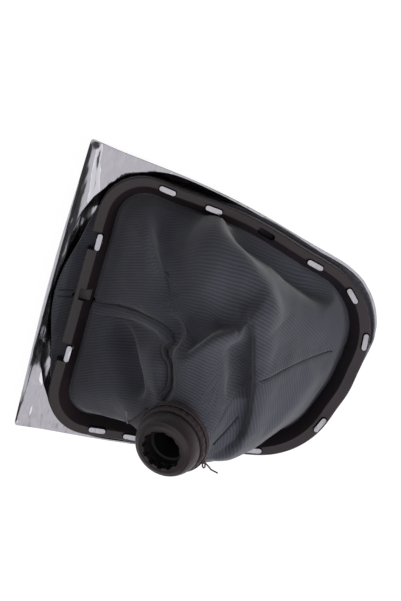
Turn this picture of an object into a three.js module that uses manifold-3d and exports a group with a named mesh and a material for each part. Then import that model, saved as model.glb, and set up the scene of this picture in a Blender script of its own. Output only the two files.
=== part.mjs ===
// Gear lever gaiter with its plated surround, seen from the console side. It lies face down on
// the show face of the surround, with the gaiter turned inside out through the frame, so the
// woven backing is outside. Millimetres, +Z up, +X from the wide side to the narrow end.
import * as THREE from 'three';
import { mergeVertices } from 'three/addons/utils/BufferGeometryUtils.js';
import Module from 'manifold-3d';

// Fits
const CLEARANCE = 0.3;
const TAB_CLEARANCE = 0.5;

// Opening of the retaining ring at its top face. Left and right are as seen along +X.
const OPENING_START = 17.3;
const OPENING_LENGTH_LEFT = 143.7;
const OPENING_LENGTH_RIGHT = 124.7;
const OPENING_WIDE_LEFT = 64.5;
const OPENING_WIDE_RIGHT = 68;
const OPENING_NARROW_LEFT = 38.5;
const OPENING_NARROW_RIGHT = 49;
const OPENING_RADIUS_WIDE_LEFT = 18;
const OPENING_RADIUS_NARROW_LEFT = 34;
const OPENING_RADIUS_NARROW_RIGHT = 36;
const OPENING_RADIUS_WIDE_RIGHT = 16;
const OPENING_BOW_LEFT = 3.5;
const OPENING_BOW_RIGHT = 1.2;
const OPENING_BOW_NARROW = 1.2;

// Plated surround
const SURROUND_THICKNESS = 2.2;
const SURROUND_MARGIN_WIDE = 18;
const SURROUND_MARGIN_LEFT = 7.4;
const SURROUND_MARGIN_RIGHT = 6.5;
const SURROUND_MARGIN_NARROW = 7.9;
const SURROUND_CORNER_RADIUS = 1.5;
const SURROUND_RADIUS_NARROW_LEFT = 36;
const SURROUND_RADIUS_NARROW_RIGHT = 38;
const SURROUND_BOW_WIDE = 1.8;
const SURROUND_BOW_LEFT = 4;
const SURROUND_BOW_RIGHT = 2.5;
const SURROUND_OVERLAP = 3;
const FLANGE_RISE = 3.6;
const WALL_SLOPE = 1;
const WALL_LEAST = 1;
const WELL_MARGIN_WIDE = 15.3;
const WELL_RADIUS = 44;
const EDGE_WIDTH = 1;
const LIP_HEIGHT = 3;
const LIP_THICKNESS = 2.2;

// Retaining ring
const RING_HEIGHT = 8.6;
const RING_BAND_WIDE = 5.8;
const RING_BAND_SIDE = 4.8;
const RING_BAND_NARROW = 6.2;
const RING_FLANK = 4;
const RING_CHAMFER = 0.6;
const SEAM_NOTCH_LENGTH = 6;
const SEAM_NOTCH_DEPTH = 3.4;
const SEAM_NOTCH_FLOOR = 3.5;
const WINDOW_WALL = 0.6;

// Plated tabs that stand up through the ring
const TAB_LENGTH = 8.5;
const TAB_THICKNESS = 2.5;
const TAB_PROUD = 1.2;

// Gaiter
const CLOTH = 1.3;
const HEM_MARGIN_WIDE = 8.4;
const HEM_BOW_WIDE = 8;
const HEM_INSET_LEFT = 2.4;
const HEM_INSET_RIGHT = 0.4;
const HEM_RADIUS_WIDE = 32;
const SEAM_AT_NARROW = 0.33;
const SEAM_DRIFT = 0.06;
const SEAM_DRIFT_WIDTH = 0.1;

// Neck collar, with its own axis: the bore mouth looks along +Z of the collar
const COLLAR_X = 73.8;
const COLLAR_Y = -44.7;
const COLLAR_Z = 66;
const COLLAR_LEAN = 26;
const COLLAR_HEADING = 217;
const BORE_RADIUS = 9.3;
const BORE_STEP = 1.2;
const BORE_MOUTH_DEPTH = 9;
const RIM_RADIUS = 16;
const NOSE_HEIGHT = 8.6;
const BARREL_RADIUS = 13.4;
const BARREL_LENGTH = 12;
const SPLINES = 12;
const SPLINE_WIDTH = 2;
const SPLINE_DEPTH = 0.7;
const SPLINE_LENGTH = 5;

// Rolled neck band and its thread
const BAND_GROOVE = 1.6;
const BAND_LENGTH = 7.4;
const BAND_THICKNESS = 3.7;
const WAIST_DEPTH = 0.5;
const THREAD_RADIUS = 0.4;
const THREAD_TURNS = 3.25;
const THREAD_PITCH = 1;
const KNOT_AT = 120;
const TAIL_LENGTH = 9;
const LOOP_RADIUS = 2.2;

// Steps
const SIDE_STEPS = 10;
const CORNER_STEPS = 7;
const RISE_STEPS = 18;
const ROUND_STEPS = 36;

const wasm = await Module();
wasm.setup();

const vec2 = (x, y) => new THREE.Vector2(x, y);
const vec3 = (x, y, z) => new THREE.Vector3(x, y, z);

// Solids

function solidFrom(geometry) {
  const bare = geometry.clone();
  bare.deleteAttribute('normal');
  bare.deleteAttribute('uv');
  const merged = mergeVertices(bare, 1e-4);
  const mesh = new wasm.Mesh({
    numProp: 3,
    vertProperties: new Float32Array(merged.attributes.position.array),
    triVerts: new Uint32Array(merged.index.array),
  });
  return new wasm.Manifold(mesh);
}

function geometryFrom(solid) {
  const mesh = solid.getMesh();
  const geometry = new THREE.BufferGeometry();
  geometry.setAttribute('position', new THREE.BufferAttribute(new Float32Array(mesh.vertProperties), 3));
  geometry.setIndex(new THREE.BufferAttribute(new Uint32Array(mesh.triVerts), 1));
  geometry.computeVertexNormals();
  return geometry;
}

function volumeOf(points, faces) {
  let sum = 0;
  for (const [a, b, c] of faces) {
    sum += points[a].dot(vec3().crossVectors(points[b], points[c])) / 6;
  }
  return sum;
}

function closedGeometry(points, faces) {
  const inward = volumeOf(points, faces) < 0;
  const index = faces.flatMap(([a, b, c]) => (inward ? [a, c, b] : [a, b, c]));
  const geometry = new THREE.BufferGeometry().setFromPoints(points);
  geometry.setIndex(index);
  geometry.computeVertexNormals();
  return geometry;
}

// A grid of rings whose rows and columns both close on themselves
function tubeGeometry(rings) {
  const rows = rings.length;
  const columns = rings[0].length;
  const faces = [];
  for (let i = 0; i < rows; i++) {
    for (let j = 0; j < columns; j++) {
      const a = i * columns + j;
      const b = i * columns + ((j + 1) % columns);
      const c = ((i + 1) % rows) * columns + ((j + 1) % columns);
      const d = ((i + 1) % rows) * columns + j;
      faces.push([a, b, c], [a, c, d]);
    }
  }
  return closedGeometry(rings.flat(), faces);
}

// Outlines: four corners in the order wide left, narrow left, narrow right, wide right.
// Side k runs from corner k - 1 to corner k, so side 0 is the wide side.

const OPENING_CORNERS = [
  vec2(OPENING_START, OPENING_WIDE_LEFT),
  vec2(OPENING_START + OPENING_LENGTH_LEFT, OPENING_NARROW_LEFT),
  vec2(OPENING_START + OPENING_LENGTH_RIGHT, -OPENING_NARROW_RIGHT),
  vec2(OPENING_START, -OPENING_WIDE_RIGHT),
];

function outwardOf(a, b) {
  const run = vec2().subVectors(b, a).normalize();
  return vec2(-run.y, run.x);
}

function meeting(p, alongP, q, alongQ) {
  const cross = alongP.cross(alongQ);
  const t = vec2().subVectors(q, p).cross(alongQ) / cross;
  return p.clone().addScaledVector(alongP, t);
}

// The opening's corners moved out by one margin a side: wide, left, narrow, right
function cornersOutBy(margins) {
  const count = OPENING_CORNERS.length;
  const sides = OPENING_CORNERS.map((corner, k) => {
    const before = OPENING_CORNERS[(k + count - 1) % count];
    const along = vec2().subVectors(corner, before).normalize();
    const start = before.clone().addScaledVector(outwardOf(before, corner), margins[k]);
    return { start, along };
  });
  return sides.map((side, k) => {
    const next = sides[(k + 1) % count];
    return meeting(side.start, side.along, next.start, next.along);
  });
}

// The outline's stations, from the middle of the wide side and round by its left corner
function outline(corners, radii, bows) {
  const count = corners.length;
  const arcs = corners.map((corner, k) => {
    const before = vec2().subVectors(corners[(k + count - 1) % count], corner).normalize();
    const after = vec2().subVectors(corners[(k + 1) % count], corner).normalize();
    const half = Math.acos(before.dot(after)) / 2;
    const reach = radii[k] / Math.tan(half);
    const middle = before.clone().add(after).normalize().multiplyScalar(radii[k] / Math.sin(half));
    const centre = corner.clone().add(middle);
    return {
      centre,
      start: corner.clone().addScaledVector(before, reach),
      end: corner.clone().addScaledVector(after, reach),
    };
  });
  const stations = [];
  for (let k = 0; k < count; k++) {
    const from = arcs[(k + count - 1) % count].end;
    const to = arcs[k].start;
    const out = outwardOf(from, to);
    for (let i = 0; i < SIDE_STEPS; i++) {
      const f = i / SIDE_STEPS;
      const swell = bows[k] * (1 - (2 * f - 1) ** 2) ** 2;
      stations.push(from.clone().lerp(to, f).addScaledVector(out, swell));
    }
    const { centre } = arcs[k];
    const first = vec2().subVectors(to, centre);
    const last = vec2().subVectors(arcs[k].end, centre);
    const turn = Math.atan2(first.cross(last), first.dot(last));
    for (let i = 0; i < CORNER_STEPS; i++) {
      stations.push(first.clone().rotateAround(vec2(0, 0), (turn * i) / CORNER_STEPS).add(centre));
    }
  }
  const half = SIDE_STEPS / 2;
  return stations.slice(half).concat(stations.slice(0, half));
}

// A closed outline moved along its own normals, out where the distance is positive
function movedOut(stations, distance) {
  const count = stations.length;
  return stations.map((point, i) => {
    const before = stations[(i + count - 1) % count];
    const after = stations[(i + 1) % count];
    return point.clone().addScaledVector(outwardOf(before, after), distance);
  });
}

const OPENING_RADII = [
  OPENING_RADIUS_WIDE_LEFT,
  OPENING_RADIUS_NARROW_LEFT,
  OPENING_RADIUS_NARROW_RIGHT,
  OPENING_RADIUS_WIDE_RIGHT,
];
const OPENING_BOWS = [0, OPENING_BOW_LEFT, OPENING_BOW_NARROW, OPENING_BOW_RIGHT];
const OPENING = outline(OPENING_CORNERS, OPENING_RADII, OPENING_BOWS);
const STATIONS = OPENING.length;

const RING_OUTSIDE = outline(
  cornersOutBy([RING_BAND_WIDE, RING_BAND_SIDE, RING_BAND_NARROW, RING_BAND_SIDE]),
  OPENING_RADII.map((radius) => radius + RING_BAND_SIDE),
  OPENING_BOWS,
);

const EDGE = outline(
  cornersOutBy([
    SURROUND_MARGIN_WIDE,
    SURROUND_MARGIN_LEFT,
    SURROUND_MARGIN_NARROW,
    SURROUND_MARGIN_RIGHT,
  ]),
  [
    SURROUND_CORNER_RADIUS,
    SURROUND_RADIUS_NARROW_LEFT,
    SURROUND_RADIUS_NARROW_RIGHT,
    SURROUND_CORNER_RADIUS,
  ],
  [SURROUND_BOW_WIDE, SURROUND_BOW_LEFT, OPENING_BOW_NARROW, SURROUND_BOW_RIGHT],
);

const WELL = outline(
  cornersOutBy([
    WELL_MARGIN_WIDE,
    SURROUND_MARGIN_LEFT + SURROUND_BOW_LEFT,
    SURROUND_MARGIN_NARROW + SURROUND_BOW_LEFT,
    SURROUND_MARGIN_RIGHT + SURROUND_BOW_LEFT,
  ]),
  [WELL_RADIUS, SURROUND_RADIUS_NARROW_LEFT, SURROUND_RADIUS_NARROW_RIGHT, WELL_RADIUS],
  [0, 0, 0, 0],
);

const HEM = outline(
  cornersOutBy([
    HEM_MARGIN_WIDE,
    SURROUND_MARGIN_LEFT - HEM_INSET_LEFT,
    SURROUND_MARGIN_NARROW - HEM_INSET_RIGHT,
    SURROUND_MARGIN_RIGHT - HEM_INSET_RIGHT,
  ]),
  [HEM_RADIUS_WIDE, SURROUND_RADIUS_NARROW_LEFT, SURROUND_RADIUS_NARROW_RIGHT, HEM_RADIUS_WIDE],
  [HEM_BOW_WIDE, SURROUND_BOW_LEFT, OPENING_BOW_NARROW, SURROUND_BOW_RIGHT],
);

// Levels
const FLOOR_TOP = SURROUND_THICKNESS;
const HEM_TOP = FLOOR_TOP + CLEARANCE + CLOTH;
const RING_BOTTOM = HEM_TOP + CLEARANCE;
const RING_TOP = RING_BOTTOM + RING_HEIGHT;
const TAB_TOP = RING_TOP + TAB_PROUD;

// Distance from the start of a ray to where it first crosses a closed outline
function crossing(start, end, stations) {
  const ray = vec2().subVectors(end, start);
  let nearest = Infinity;
  stations.forEach((a, i) => {
    const b = stations[(i + 1) % stations.length];
    const edge = vec2().subVectors(b, a);
    const cross = ray.cross(edge);
    const offset = vec2().subVectors(a, start);
    const along = offset.cross(edge) / cross;
    const across = offset.cross(ray) / cross;
    if (across >= 0 && across <= 1 && along > 0 && along < nearest) {
      nearest = along;
    }
  });
  return nearest * ray.length();
}

// One ray a station, from the surround's edge in to its opening, with where each form begins
const PLATE_OPENING = movedOut(OPENING, -SURROUND_OVERLAP);
const FLOOR_LINE = movedOut(RING_OUTSIDE, CLEARANCE);
const RAYS = EDGE.map((edge, i) => {
  const inner = PLATE_OPENING[i];
  const length = edge.distanceTo(inner);
  const along = vec2().subVectors(inner, edge).normalize();
  const onWideSide = i < SIDE_STEPS / 2 || i > STATIONS - SIDE_STEPS / 2;
  const lip = onWideSide ? LIP_HEIGHT : 0;
  const rim = onWideSide ? LIP_THICKNESS : EDGE_WIDTH;
  const floor = crossing(edge, inner, FLOOR_LINE);
  const toWell = crossing(edge, inner, WELL);
  const step = rim + CLEARANCE;
  if (toWell > length) {
    const rise = Math.min(FLANGE_RISE, (floor - step) * WALL_SLOPE);
    return { edge, along, length, rim, lip, well: step, floor, rise };
  }
  const well = THREE.MathUtils.clamp(toWell, step, floor - WALL_LEAST);
  return { edge, along, length, rim, lip, well, floor, rise: FLANGE_RISE };
});

function onRay(ray, distance, z) {
  const point = ray.edge.clone().addScaledVector(ray.along, distance);
  return vec3(point.x, point.y, z);
}

// Height of the surround's upper side along a ray, which the hem lies on
function surroundTop(ray, distance) {
  const fall = THREE.MathUtils.clamp((distance - ray.well) / (ray.floor - ray.well), 0, 1);
  return FLOOR_TOP + ray.rise * (1 - fall);
}

// Tabs: the side, the place along it from corner to corner, and how far out of the opening.
// At the narrow end they stand close behind the ring's outer wall.

const NARROW_TAB_OUT = RING_BAND_NARROW - WINDOW_WALL - TAB_CLEARANCE - TAB_THICKNESS / 2;
const TABS = [
  { side: 1, at: 0.171, out: 1.6 },
  { side: 1, at: 0.338, out: 0.8 },
  { side: 1, at: 0.728, out: 0.6 },
  { side: 1, at: 0.885, out: 1.4 },
  { side: 2, at: 0.27, out: NARROW_TAB_OUT },
  { side: 2, at: 0.79, out: NARROW_TAB_OUT },
  { side: 3, at: 0.18, out: 2.2 },
  { side: 3, at: 0.671, out: 2.2 },
  { side: 3, at: 0.812, out: 1.4 },
  { side: 0, at: 0.278, out: 0.9, notch: true },
  { side: 0, at: 0.724, out: 0.9, notch: true },
];
const EMPTY_WINDOW = { side: 1, at: 0.532, out: 0.8 };

// The place and heading of a tab: its two ends are equally far out of the opening's outline
function placeOf(tab) {
  const before = OPENING_CORNERS[(tab.side + 3) % 4];
  const after = OPENING_CORNERS[tab.side];
  const out = outwardOf(before, after);
  const along = vec2().subVectors(after, before).normalize();
  const ends = [-0.5, 0.5].map((part) => {
    const inside = before.clone().lerp(after, tab.at);
    inside.addScaledVector(along, part * TAB_LENGTH);
    inside.addScaledVector(out, -OPENING_START);
    const outside = inside.clone().addScaledVector(out, 2 * OPENING_START);
    return inside.clone().addScaledVector(out, crossing(inside, outside, OPENING));
  });
  const normal = outwardOf(...ends);
  return {
    centre: ends[0].clone().lerp(ends[1], 0.5).addScaledVector(normal, tab.out),
    normal,
    angle: Math.atan2(normal.y, normal.x) - Math.PI / 2,
  };
}

// An upright block with rounded ends, turned to stand along the outline at a tab's place
function uprightSlot(tab, length, thickness, bottom, top, outward = 0) {
  const half = length / 2 - thickness / 2;
  const shape = new THREE.Shape();
  shape.absarc(half, 0, thickness / 2, -Math.PI / 2, Math.PI / 2);
  shape.absarc(-half, 0, thickness / 2, Math.PI / 2, (3 * Math.PI) / 2);
  const geometry = new THREE.ExtrudeGeometry(shape, {
    depth: top - bottom,
    curveSegments: 5,
    bevelEnabled: false,
  });
  const place = placeOf(tab);
  const centre = place.centre.clone().addScaledVector(place.normal, outward);
  geometry.rotateZ(place.angle);
  geometry.translate(centre.x, centre.y, bottom);
  return solidFrom(geometry);
}

function uprightBox(tab, length, width, bottom, top, outward) {
  const geometry = new THREE.BoxGeometry(length, width, top - bottom);
  const place = placeOf(tab);
  const centre = place.centre.clone().addScaledVector(place.normal, outward);
  geometry.rotateZ(place.angle);
  geometry.translate(centre.x, centre.y, (top + bottom) / 2);
  return solidFrom(geometry);
}

// Surround

function surroundSolid() {
  const profile = [
    (ray) => onRay(ray, 0, ray.rise),
    (ray) => onRay(ray, 0, FLOOR_TOP + ray.rise + ray.lip),
    (ray) => onRay(ray, ray.rim, FLOOR_TOP + ray.rise + ray.lip),
    (ray) => onRay(ray, ray.rim + CLEARANCE / 2, FLOOR_TOP + ray.rise),
    (ray) => onRay(ray, ray.well, FLOOR_TOP + ray.rise),
    (ray) => onRay(ray, ray.floor, FLOOR_TOP),
    (ray) => onRay(ray, ray.length, FLOOR_TOP),
    (ray) => onRay(ray, ray.length, 0),
    (ray) => onRay(ray, ray.floor, 0),
    (ray) => onRay(ray, ray.well, ray.rise),
  ];
  let solid = solidFrom(tubeGeometry(profile.map((at) => RAYS.map(at))));
  for (const tab of TABS) {
    const stem = uprightSlot(tab, TAB_LENGTH, TAB_THICKNESS, FLOOR_TOP / 2, TAB_TOP);
    solid = solid.add(stem);
  }
  return solid;
}

const SURROUND = surroundSolid();

// Retaining ring

function ringSolid() {
  const lift = (stations, z) => stations.map((point) => vec3(point.x, point.y, z));
  const foot = movedOut(OPENING, -RING_FLANK);
  const rings = [
    lift(RING_OUTSIDE, RING_BOTTOM),
    lift(RING_OUTSIDE, RING_TOP - RING_CHAMFER),
    lift(movedOut(RING_OUTSIDE, -RING_CHAMFER), RING_TOP),
    lift(movedOut(OPENING, RING_CHAMFER), RING_TOP),
    lift(OPENING, RING_TOP - RING_CHAMFER),
    lift(foot, RING_BOTTOM),
  ];
  let solid = solidFrom(tubeGeometry(rings));
  const length = TAB_LENGTH + 2 * TAB_CLEARANCE;
  const width = TAB_THICKNESS + 2 * TAB_CLEARANCE;
  for (const tab of [...TABS, EMPTY_WINDOW]) {
    solid = solid.subtract(uprightSlot(tab, length, width, 0, TAB_TOP + 1));
    if (tab.notch) {
      solid = solid.subtract(
        uprightBox(tab, length, RING_BAND_WIDE, RING_BOTTOM - 1, TAB_TOP + 1, RING_BAND_WIDE / 2),
      );
    }
  }
  const seamAt = OPENING_WIDE_RIGHT / (OPENING_WIDE_RIGHT + OPENING_WIDE_LEFT);
  const seam = { side: 0, at: seamAt, out: 0 };
  const cut = RING_FLANK + SEAM_NOTCH_DEPTH;
  const floor = RING_BOTTOM + SEAM_NOTCH_FLOOR;
  const inward = cut / 2 - RING_FLANK;
  solid = solid.subtract(uprightBox(seam, SEAM_NOTCH_LENGTH, cut, floor, TAB_TOP + 1, inward));
  return solid;
}

const RING = ringSolid();

// Collar frame

const COLLAR_AXIS = vec3(0, 0, 1)
  .applyAxisAngle(vec3(0, 1, 0), THREE.MathUtils.degToRad(COLLAR_LEAN))
  .applyAxisAngle(vec3(0, 0, 1), THREE.MathUtils.degToRad(COLLAR_HEADING));
const COLLAR_FRAME = new THREE.Matrix4()
  .makeRotationZ(THREE.MathUtils.degToRad(COLLAR_HEADING))
  .multiply(new THREE.Matrix4().makeRotationY(THREE.MathUtils.degToRad(COLLAR_LEAN)))
  .setPosition(COLLAR_X, COLLAR_Y, COLLAR_Z);

// A lathe about the collar's axis, from a closed profile of radius and height
function turned(profile) {
  const closed = [...profile, profile[0]].map(([radius, height]) => vec2(radius, height));
  const geometry = new THREE.LatheGeometry(closed, ROUND_STEPS);
  geometry.rotateX(Math.PI / 2);
  const bare = geometry.clone();
  bare.deleteAttribute('normal');
  bare.deleteAttribute('uv');
  const merged = mergeVertices(bare, 1e-4);
  const points = [];
  const position = merged.attributes.position;
  for (let i = 0; i < position.count; i++) {
    points.push(vec3().fromBufferAttribute(position, i));
  }
  const faces = [];
  for (let i = 0; i < merged.index.count; i += 3) {
    const [a, b, c] = [0, 1, 2].map((k) => merged.index.getX(i + k));
    if (a !== b && b !== c && a !== c) {
      faces.push([a, b, c]);
    }
  }
  return closedGeometry(points, faces);
}

function collarGeometry() {
  const nose = [];
  const bulge = RIM_RADIUS - BORE_RADIUS - BORE_STEP;
  for (let i = 0; i <= 8; i++) {
    const turn = (Math.PI / 2) * (i / 8);
    nose.push([
      RIM_RADIUS - bulge * (1 - Math.cos(turn)),
      NOSE_HEIGHT * Math.sin(turn),
    ]);
  }
  const profile = [
    [BORE_RADIUS - BORE_STEP, -BARREL_LENGTH],
    [BARREL_RADIUS, -BARREL_LENGTH],
    [BARREL_RADIUS, -BAND_GROOVE],
    [RIM_RADIUS - BORE_STEP, -BAND_GROOVE / 2],
    ...nose,
    [BORE_RADIUS, NOSE_HEIGHT - BORE_STEP / 2],
    [BORE_RADIUS, NOSE_HEIGHT - BORE_MOUTH_DEPTH],
    [BORE_RADIUS - BORE_STEP, NOSE_HEIGHT - BORE_MOUTH_DEPTH - BORE_STEP / 2],
  ];
  let solid = solidFrom(turned(profile));
  for (let i = 0; i < SPLINES; i++) {
    const notch = new THREE.BoxGeometry(2 * SPLINE_DEPTH, SPLINE_WIDTH, 2 * SPLINE_LENGTH);
    notch.translate(BORE_RADIUS, 0, NOSE_HEIGHT);
    notch.rotateZ((2 * Math.PI * i) / SPLINES);
    solid = solid.subtract(solidFrom(notch));
  }
  return geometryFrom(solid).applyMatrix4(COLLAR_FRAME);
}

// Neck band: the neck's hem rolled into a soft ring, with a waist where the thread lies

const BAND_INSIDE = BARREL_RADIUS + CLEARANCE;
const BAND_OUTSIDE = BAND_INSIDE + BAND_THICKNESS;
const BAND_FRONT = -BAND_GROOVE - CLEARANCE;
const BAND_BACK = BAND_FRONT - BAND_LENGTH;
const WAIST_AT = BAND_FRONT - BAND_LENGTH * 0.6;
const WAIST_RADIUS = BAND_OUTSIDE - WAIST_DEPTH;

function bandGeometry() {
  const middle = (BAND_FRONT + BAND_BACK) / 2;
  const waist = (height) => {
    const apart = (height - WAIST_AT) / (THREAD_PITCH * THREAD_TURNS * 0.6);
    return WAIST_DEPTH * Math.exp(-apart * apart);
  };
  const outside = [];
  for (let i = 0; i <= 12; i++) {
    const turn = -Math.PI / 2 + (Math.PI * i) / 12;
    const height = middle + (BAND_LENGTH / 2) * Math.sin(turn);
    const radius = BAND_INSIDE + BAND_THICKNESS * (0.35 + 0.65 * Math.sqrt(Math.cos(turn) + 1e-9));
    outside.push([radius - waist(height), height]);
  }
  const profile = [[BAND_INSIDE, BAND_BACK], ...outside, [BAND_INSIDE, BAND_FRONT]];
  return turned(profile).applyMatrix4(COLLAR_FRAME);
}

// Tie thread: turns in the waist of the band, a knot, a small loop and a loose tail

class Winding extends THREE.Curve {
  getPoint(t) {
    const angle = -2 * Math.PI * THREAD_TURNS * t;
    const radius = WAIST_RADIUS + THREAD_RADIUS + CLEARANCE;
    const height = WAIST_AT + THREAD_PITCH * THREAD_TURNS * (t - 0.5);
    return vec3(radius * Math.cos(angle), radius * Math.sin(angle), height);
  }
}

function threadAlong(curve, steps) {
  const section = new THREE.Shape();
  section.absarc(0, 0, THREAD_RADIUS, 0, 2 * Math.PI);
  return solidFrom(
    new THREE.ExtrudeGeometry(section, { steps, extrudePath: curve, curveSegments: 3 }),
  );
}

function threadGeometry() {
  const winding = new Winding();
  const end = winding.getPoint(0);
  const tail = new THREE.CatmullRomCurve3(
    [
      [0, 0, 0],
      [0.08, -0.28, 0],
      [0.4, -0.47, -0.05],
      [0.83, -0.52, -0.16],
    ].map(([x, y, z]) => vec3(x, y, z).multiplyScalar(TAIL_LENGTH).add(end)),
  );
  const loop = new THREE.TorusGeometry(LOOP_RADIUS, THREAD_RADIUS, 6, 16);
  loop.rotateY(Math.PI / 2);
  loop.translate(end.x + THREAD_RADIUS, end.y - LOOP_RADIUS, end.z + THREAD_RADIUS);
  const knot = new THREE.SphereGeometry(2.4 * THREAD_RADIUS, 8, 6);
  knot.translate(end.x + THREAD_RADIUS, end.y, end.z);
  const solid = threadAlong(winding, Math.round(THREAD_TURNS * 28))
    .add(threadAlong(tail, 8))
    .add(solidFrom(loop))
    .add(solidFrom(knot));
  return geometryFrom(solid).rotateZ(THREE.MathUtils.degToRad(KNOT_AT)).applyMatrix4(COLLAR_FRAME);
}

// Gaiter cloth. Around runs from 0 at the wide side's seam to 1, and rise from 0 at the ring
// to 1 at the neck.

const CLOTH_FOOT = movedOut(OPENING, -RING_FLANK - 3 * CLEARANCE);
const NECK_RADIUS = BARREL_RADIUS + CLEARANCE + CLOTH;
const NECK_AT = BAND_BACK - CLEARANCE;
const SEAM_STATION = SIDE_STEPS * 1.5 + 2 * CORNER_STEPS + SIDE_STEPS * SEAM_AT_NARROW;
const SEAM_AROUND = SEAM_STATION / STATIONS;

// Where the two seams meet the neck, as angles about the collar's axis
const NECK_START = THREE.MathUtils.degToRad(284);
const NECK_SEAM = THREE.MathUtils.degToRad(158);

// A smooth value round the gaiter from eight values: at the wide side, its left corner, the
// left side, and so on round to the wide side's right corner
function aroundOf(values, around) {
  const count = values.length;
  const place = (((around % 1) + 1) % 1) * count;
  const i = Math.floor(place);
  const f = place - i;
  const [a, b, c, d] = [-1, 0, 1, 2].map((k) => values[(i + k + count) % count]);
  return b + 0.5 * f * (c - a + f * (2 * a - 5 * b + 4 * c - d + f * (3 * (b - c) + d - a)));
}

// How far the slumped wall stands off a straight cone a third and two thirds of the way up
const LOWER_SLUMP = {
  x: [2, -2, -11, -15, -1, 11, 19, 4],
  y: [15, 11, 17, 20, 22, 13, -4, 9],
  z: [4, 7, 12, 12, 10, 8, 2, 4],
};
const UPPER_SLUMP = {
  x: [10, 7, -1, -10, -5, 5, 11, 8],
  y: [19, 6, 11, 11, 13, 4, -5, 5],
  z: [9, 9, 13, 10, 7, 6, 4, 8],
};
const FOOT_RISE = 45;
const NECK_RUN = 40;

function footAt(around) {
  const place = (((around % 1) + 1) % 1) * STATIONS;
  const i = Math.floor(place);
  const point = CLOTH_FOOT[i % STATIONS].clone().lerp(CLOTH_FOOT[(i + 1) % STATIONS], place - i);
  return vec3(point.x, point.y, HEM_TOP);
}

function neckAt(around) {
  const first = around < SEAM_AROUND;
  const share = first ? around / SEAM_AROUND : (around - SEAM_AROUND) / (1 - SEAM_AROUND);
  const upper = NECK_SEAM - NECK_START;
  const lower = -2 * Math.PI - upper;
  const angle = first ? NECK_START + upper * share : NECK_SEAM + lower * share;
  const point = vec3(NECK_RADIUS * Math.cos(angle), NECK_RADIUS * Math.sin(angle), NECK_AT);
  return point.applyMatrix4(COLLAR_FRAME);
}

function slumped(foot, neck, share, slump, around) {
  const offset = vec3(aroundOf(slump.x, around), aroundOf(slump.y, around), aroundOf(slump.z, around));
  return foot.clone().lerp(neck, share).add(offset);
}

function wallPoint(around, rise) {
  const foot = footAt(around);
  const neck = neckAt(around);
  const knots = [
    foot,
    slumped(foot, neck, 1 / 3, LOWER_SLUMP, around),
    slumped(foot, neck, 2 / 3, UPPER_SLUMP, around),
    neck,
  ];
  const tangents = [
    vec3(0, 0, FOOT_RISE / 3),
    knots[2].clone().sub(knots[0]).multiplyScalar(0.5),
    knots[3].clone().sub(knots[1]).multiplyScalar(0.5),
    COLLAR_AXIS.clone().multiplyScalar(NECK_RUN / 3),
  ];
  const leg = Math.min(Math.floor(rise * 3), 2);
  const t = rise * 3 - leg;
  const s = 1 - t;
  return vec3()
    .addScaledVector(knots[leg], s * s * (1 + 2 * t))
    .addScaledVector(tangents[leg], s * s * t)
    .addScaledVector(knots[leg + 1], t * t * (3 - 2 * t))
    .addScaledVector(tangents[leg + 1], -t * t * s);
}

// Folds: each runs through places of (around, rise), stands out by its height where that is
// positive, and falls away over one width on its left and another on its right
const SHOULDER = {
  path: [[0.195, 0.06], [0.24, 0.2], [0.285, 0.29], [0.335, 0.375], [0.38, 0.42]],
  height: 5,
  left: 14,
  right: 9,
};
const LEFT_VALLEY = {
  path: [[0.185, 0.1], [0.185, 0.4], [0.19, 0.62]],
  height: -6,
  left: 9,
  right: 11,
};
const BROW = {
  path: [[0.11, 0.74], [0.2, 0.69], [0.285, 0.62], [0.34, 0.56]],
  height: 4,
  left: 9,
  right: 5,
};
const HOLLOW_OVER_BROW = {
  path: [[0.18, 0.6], [0.27, 0.54], [0.335, 0.47]],
  height: -3.5,
  left: 5,
  right: 8,
};
const OVERLAP = {
  path: [[0.33, 0.46], [0.39, 0.55], [0.455, 0.6], [0.51, 0.625], [0.57, 0.67], [0.62, 0.78]],
  height: 5,
  left: 4,
  right: 14,
};
const UNDER_OVERLAP = {
  path: [[0.34, 0.6], [0.39, 0.66], [0.455, 0.71], [0.51, 0.73], [0.57, 0.78]],
  height: -3.5,
  left: 6,
  right: 5,
};
const NECK_GROOVE = {
  path: [[1.03, 0.58], [1.015, 0.68], [0.995, 0.75], [0.985, 0.9]],
  height: -4,
  left: 5,
  right: 5,
};
const LOW_VALLEY = {
  path: [[0.99, 0.26], [0.965, 0.41], [0.935, 0.52], [0.92, 0.76]],
  height: -5,
  left: 6,
  right: 6,
};
const UNDER_SEAM = {
  path: [[0.98, 0.2], [0.985, 0.35], [0.99, 0.5], [0.995, 0.64]],
  height: -3.5,
  left: 6,
  right: 4,
};
const SAG = {
  path: [[0.43, 0.05], [0.52, 0.2], [0.575, 0.32], [0.605, 0.46], [0.64, 0.56]],
  height: 2,
  left: 7,
  right: 7,
};
const FOLDS = [
  SHOULDER,
  LEFT_VALLEY,
  BROW,
  HOLLOW_OVER_BROW,
  OVERLAP,
  UNDER_OVERLAP,
  NECK_GROOVE,
  LOW_VALLEY,
  UNDER_SEAM,
  SAG,
];

// The cloth's own length round the foot and from foot to neck, which fold widths go by
const AROUND_LENGTH = 330;
const RISE_LENGTH = 85;

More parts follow.
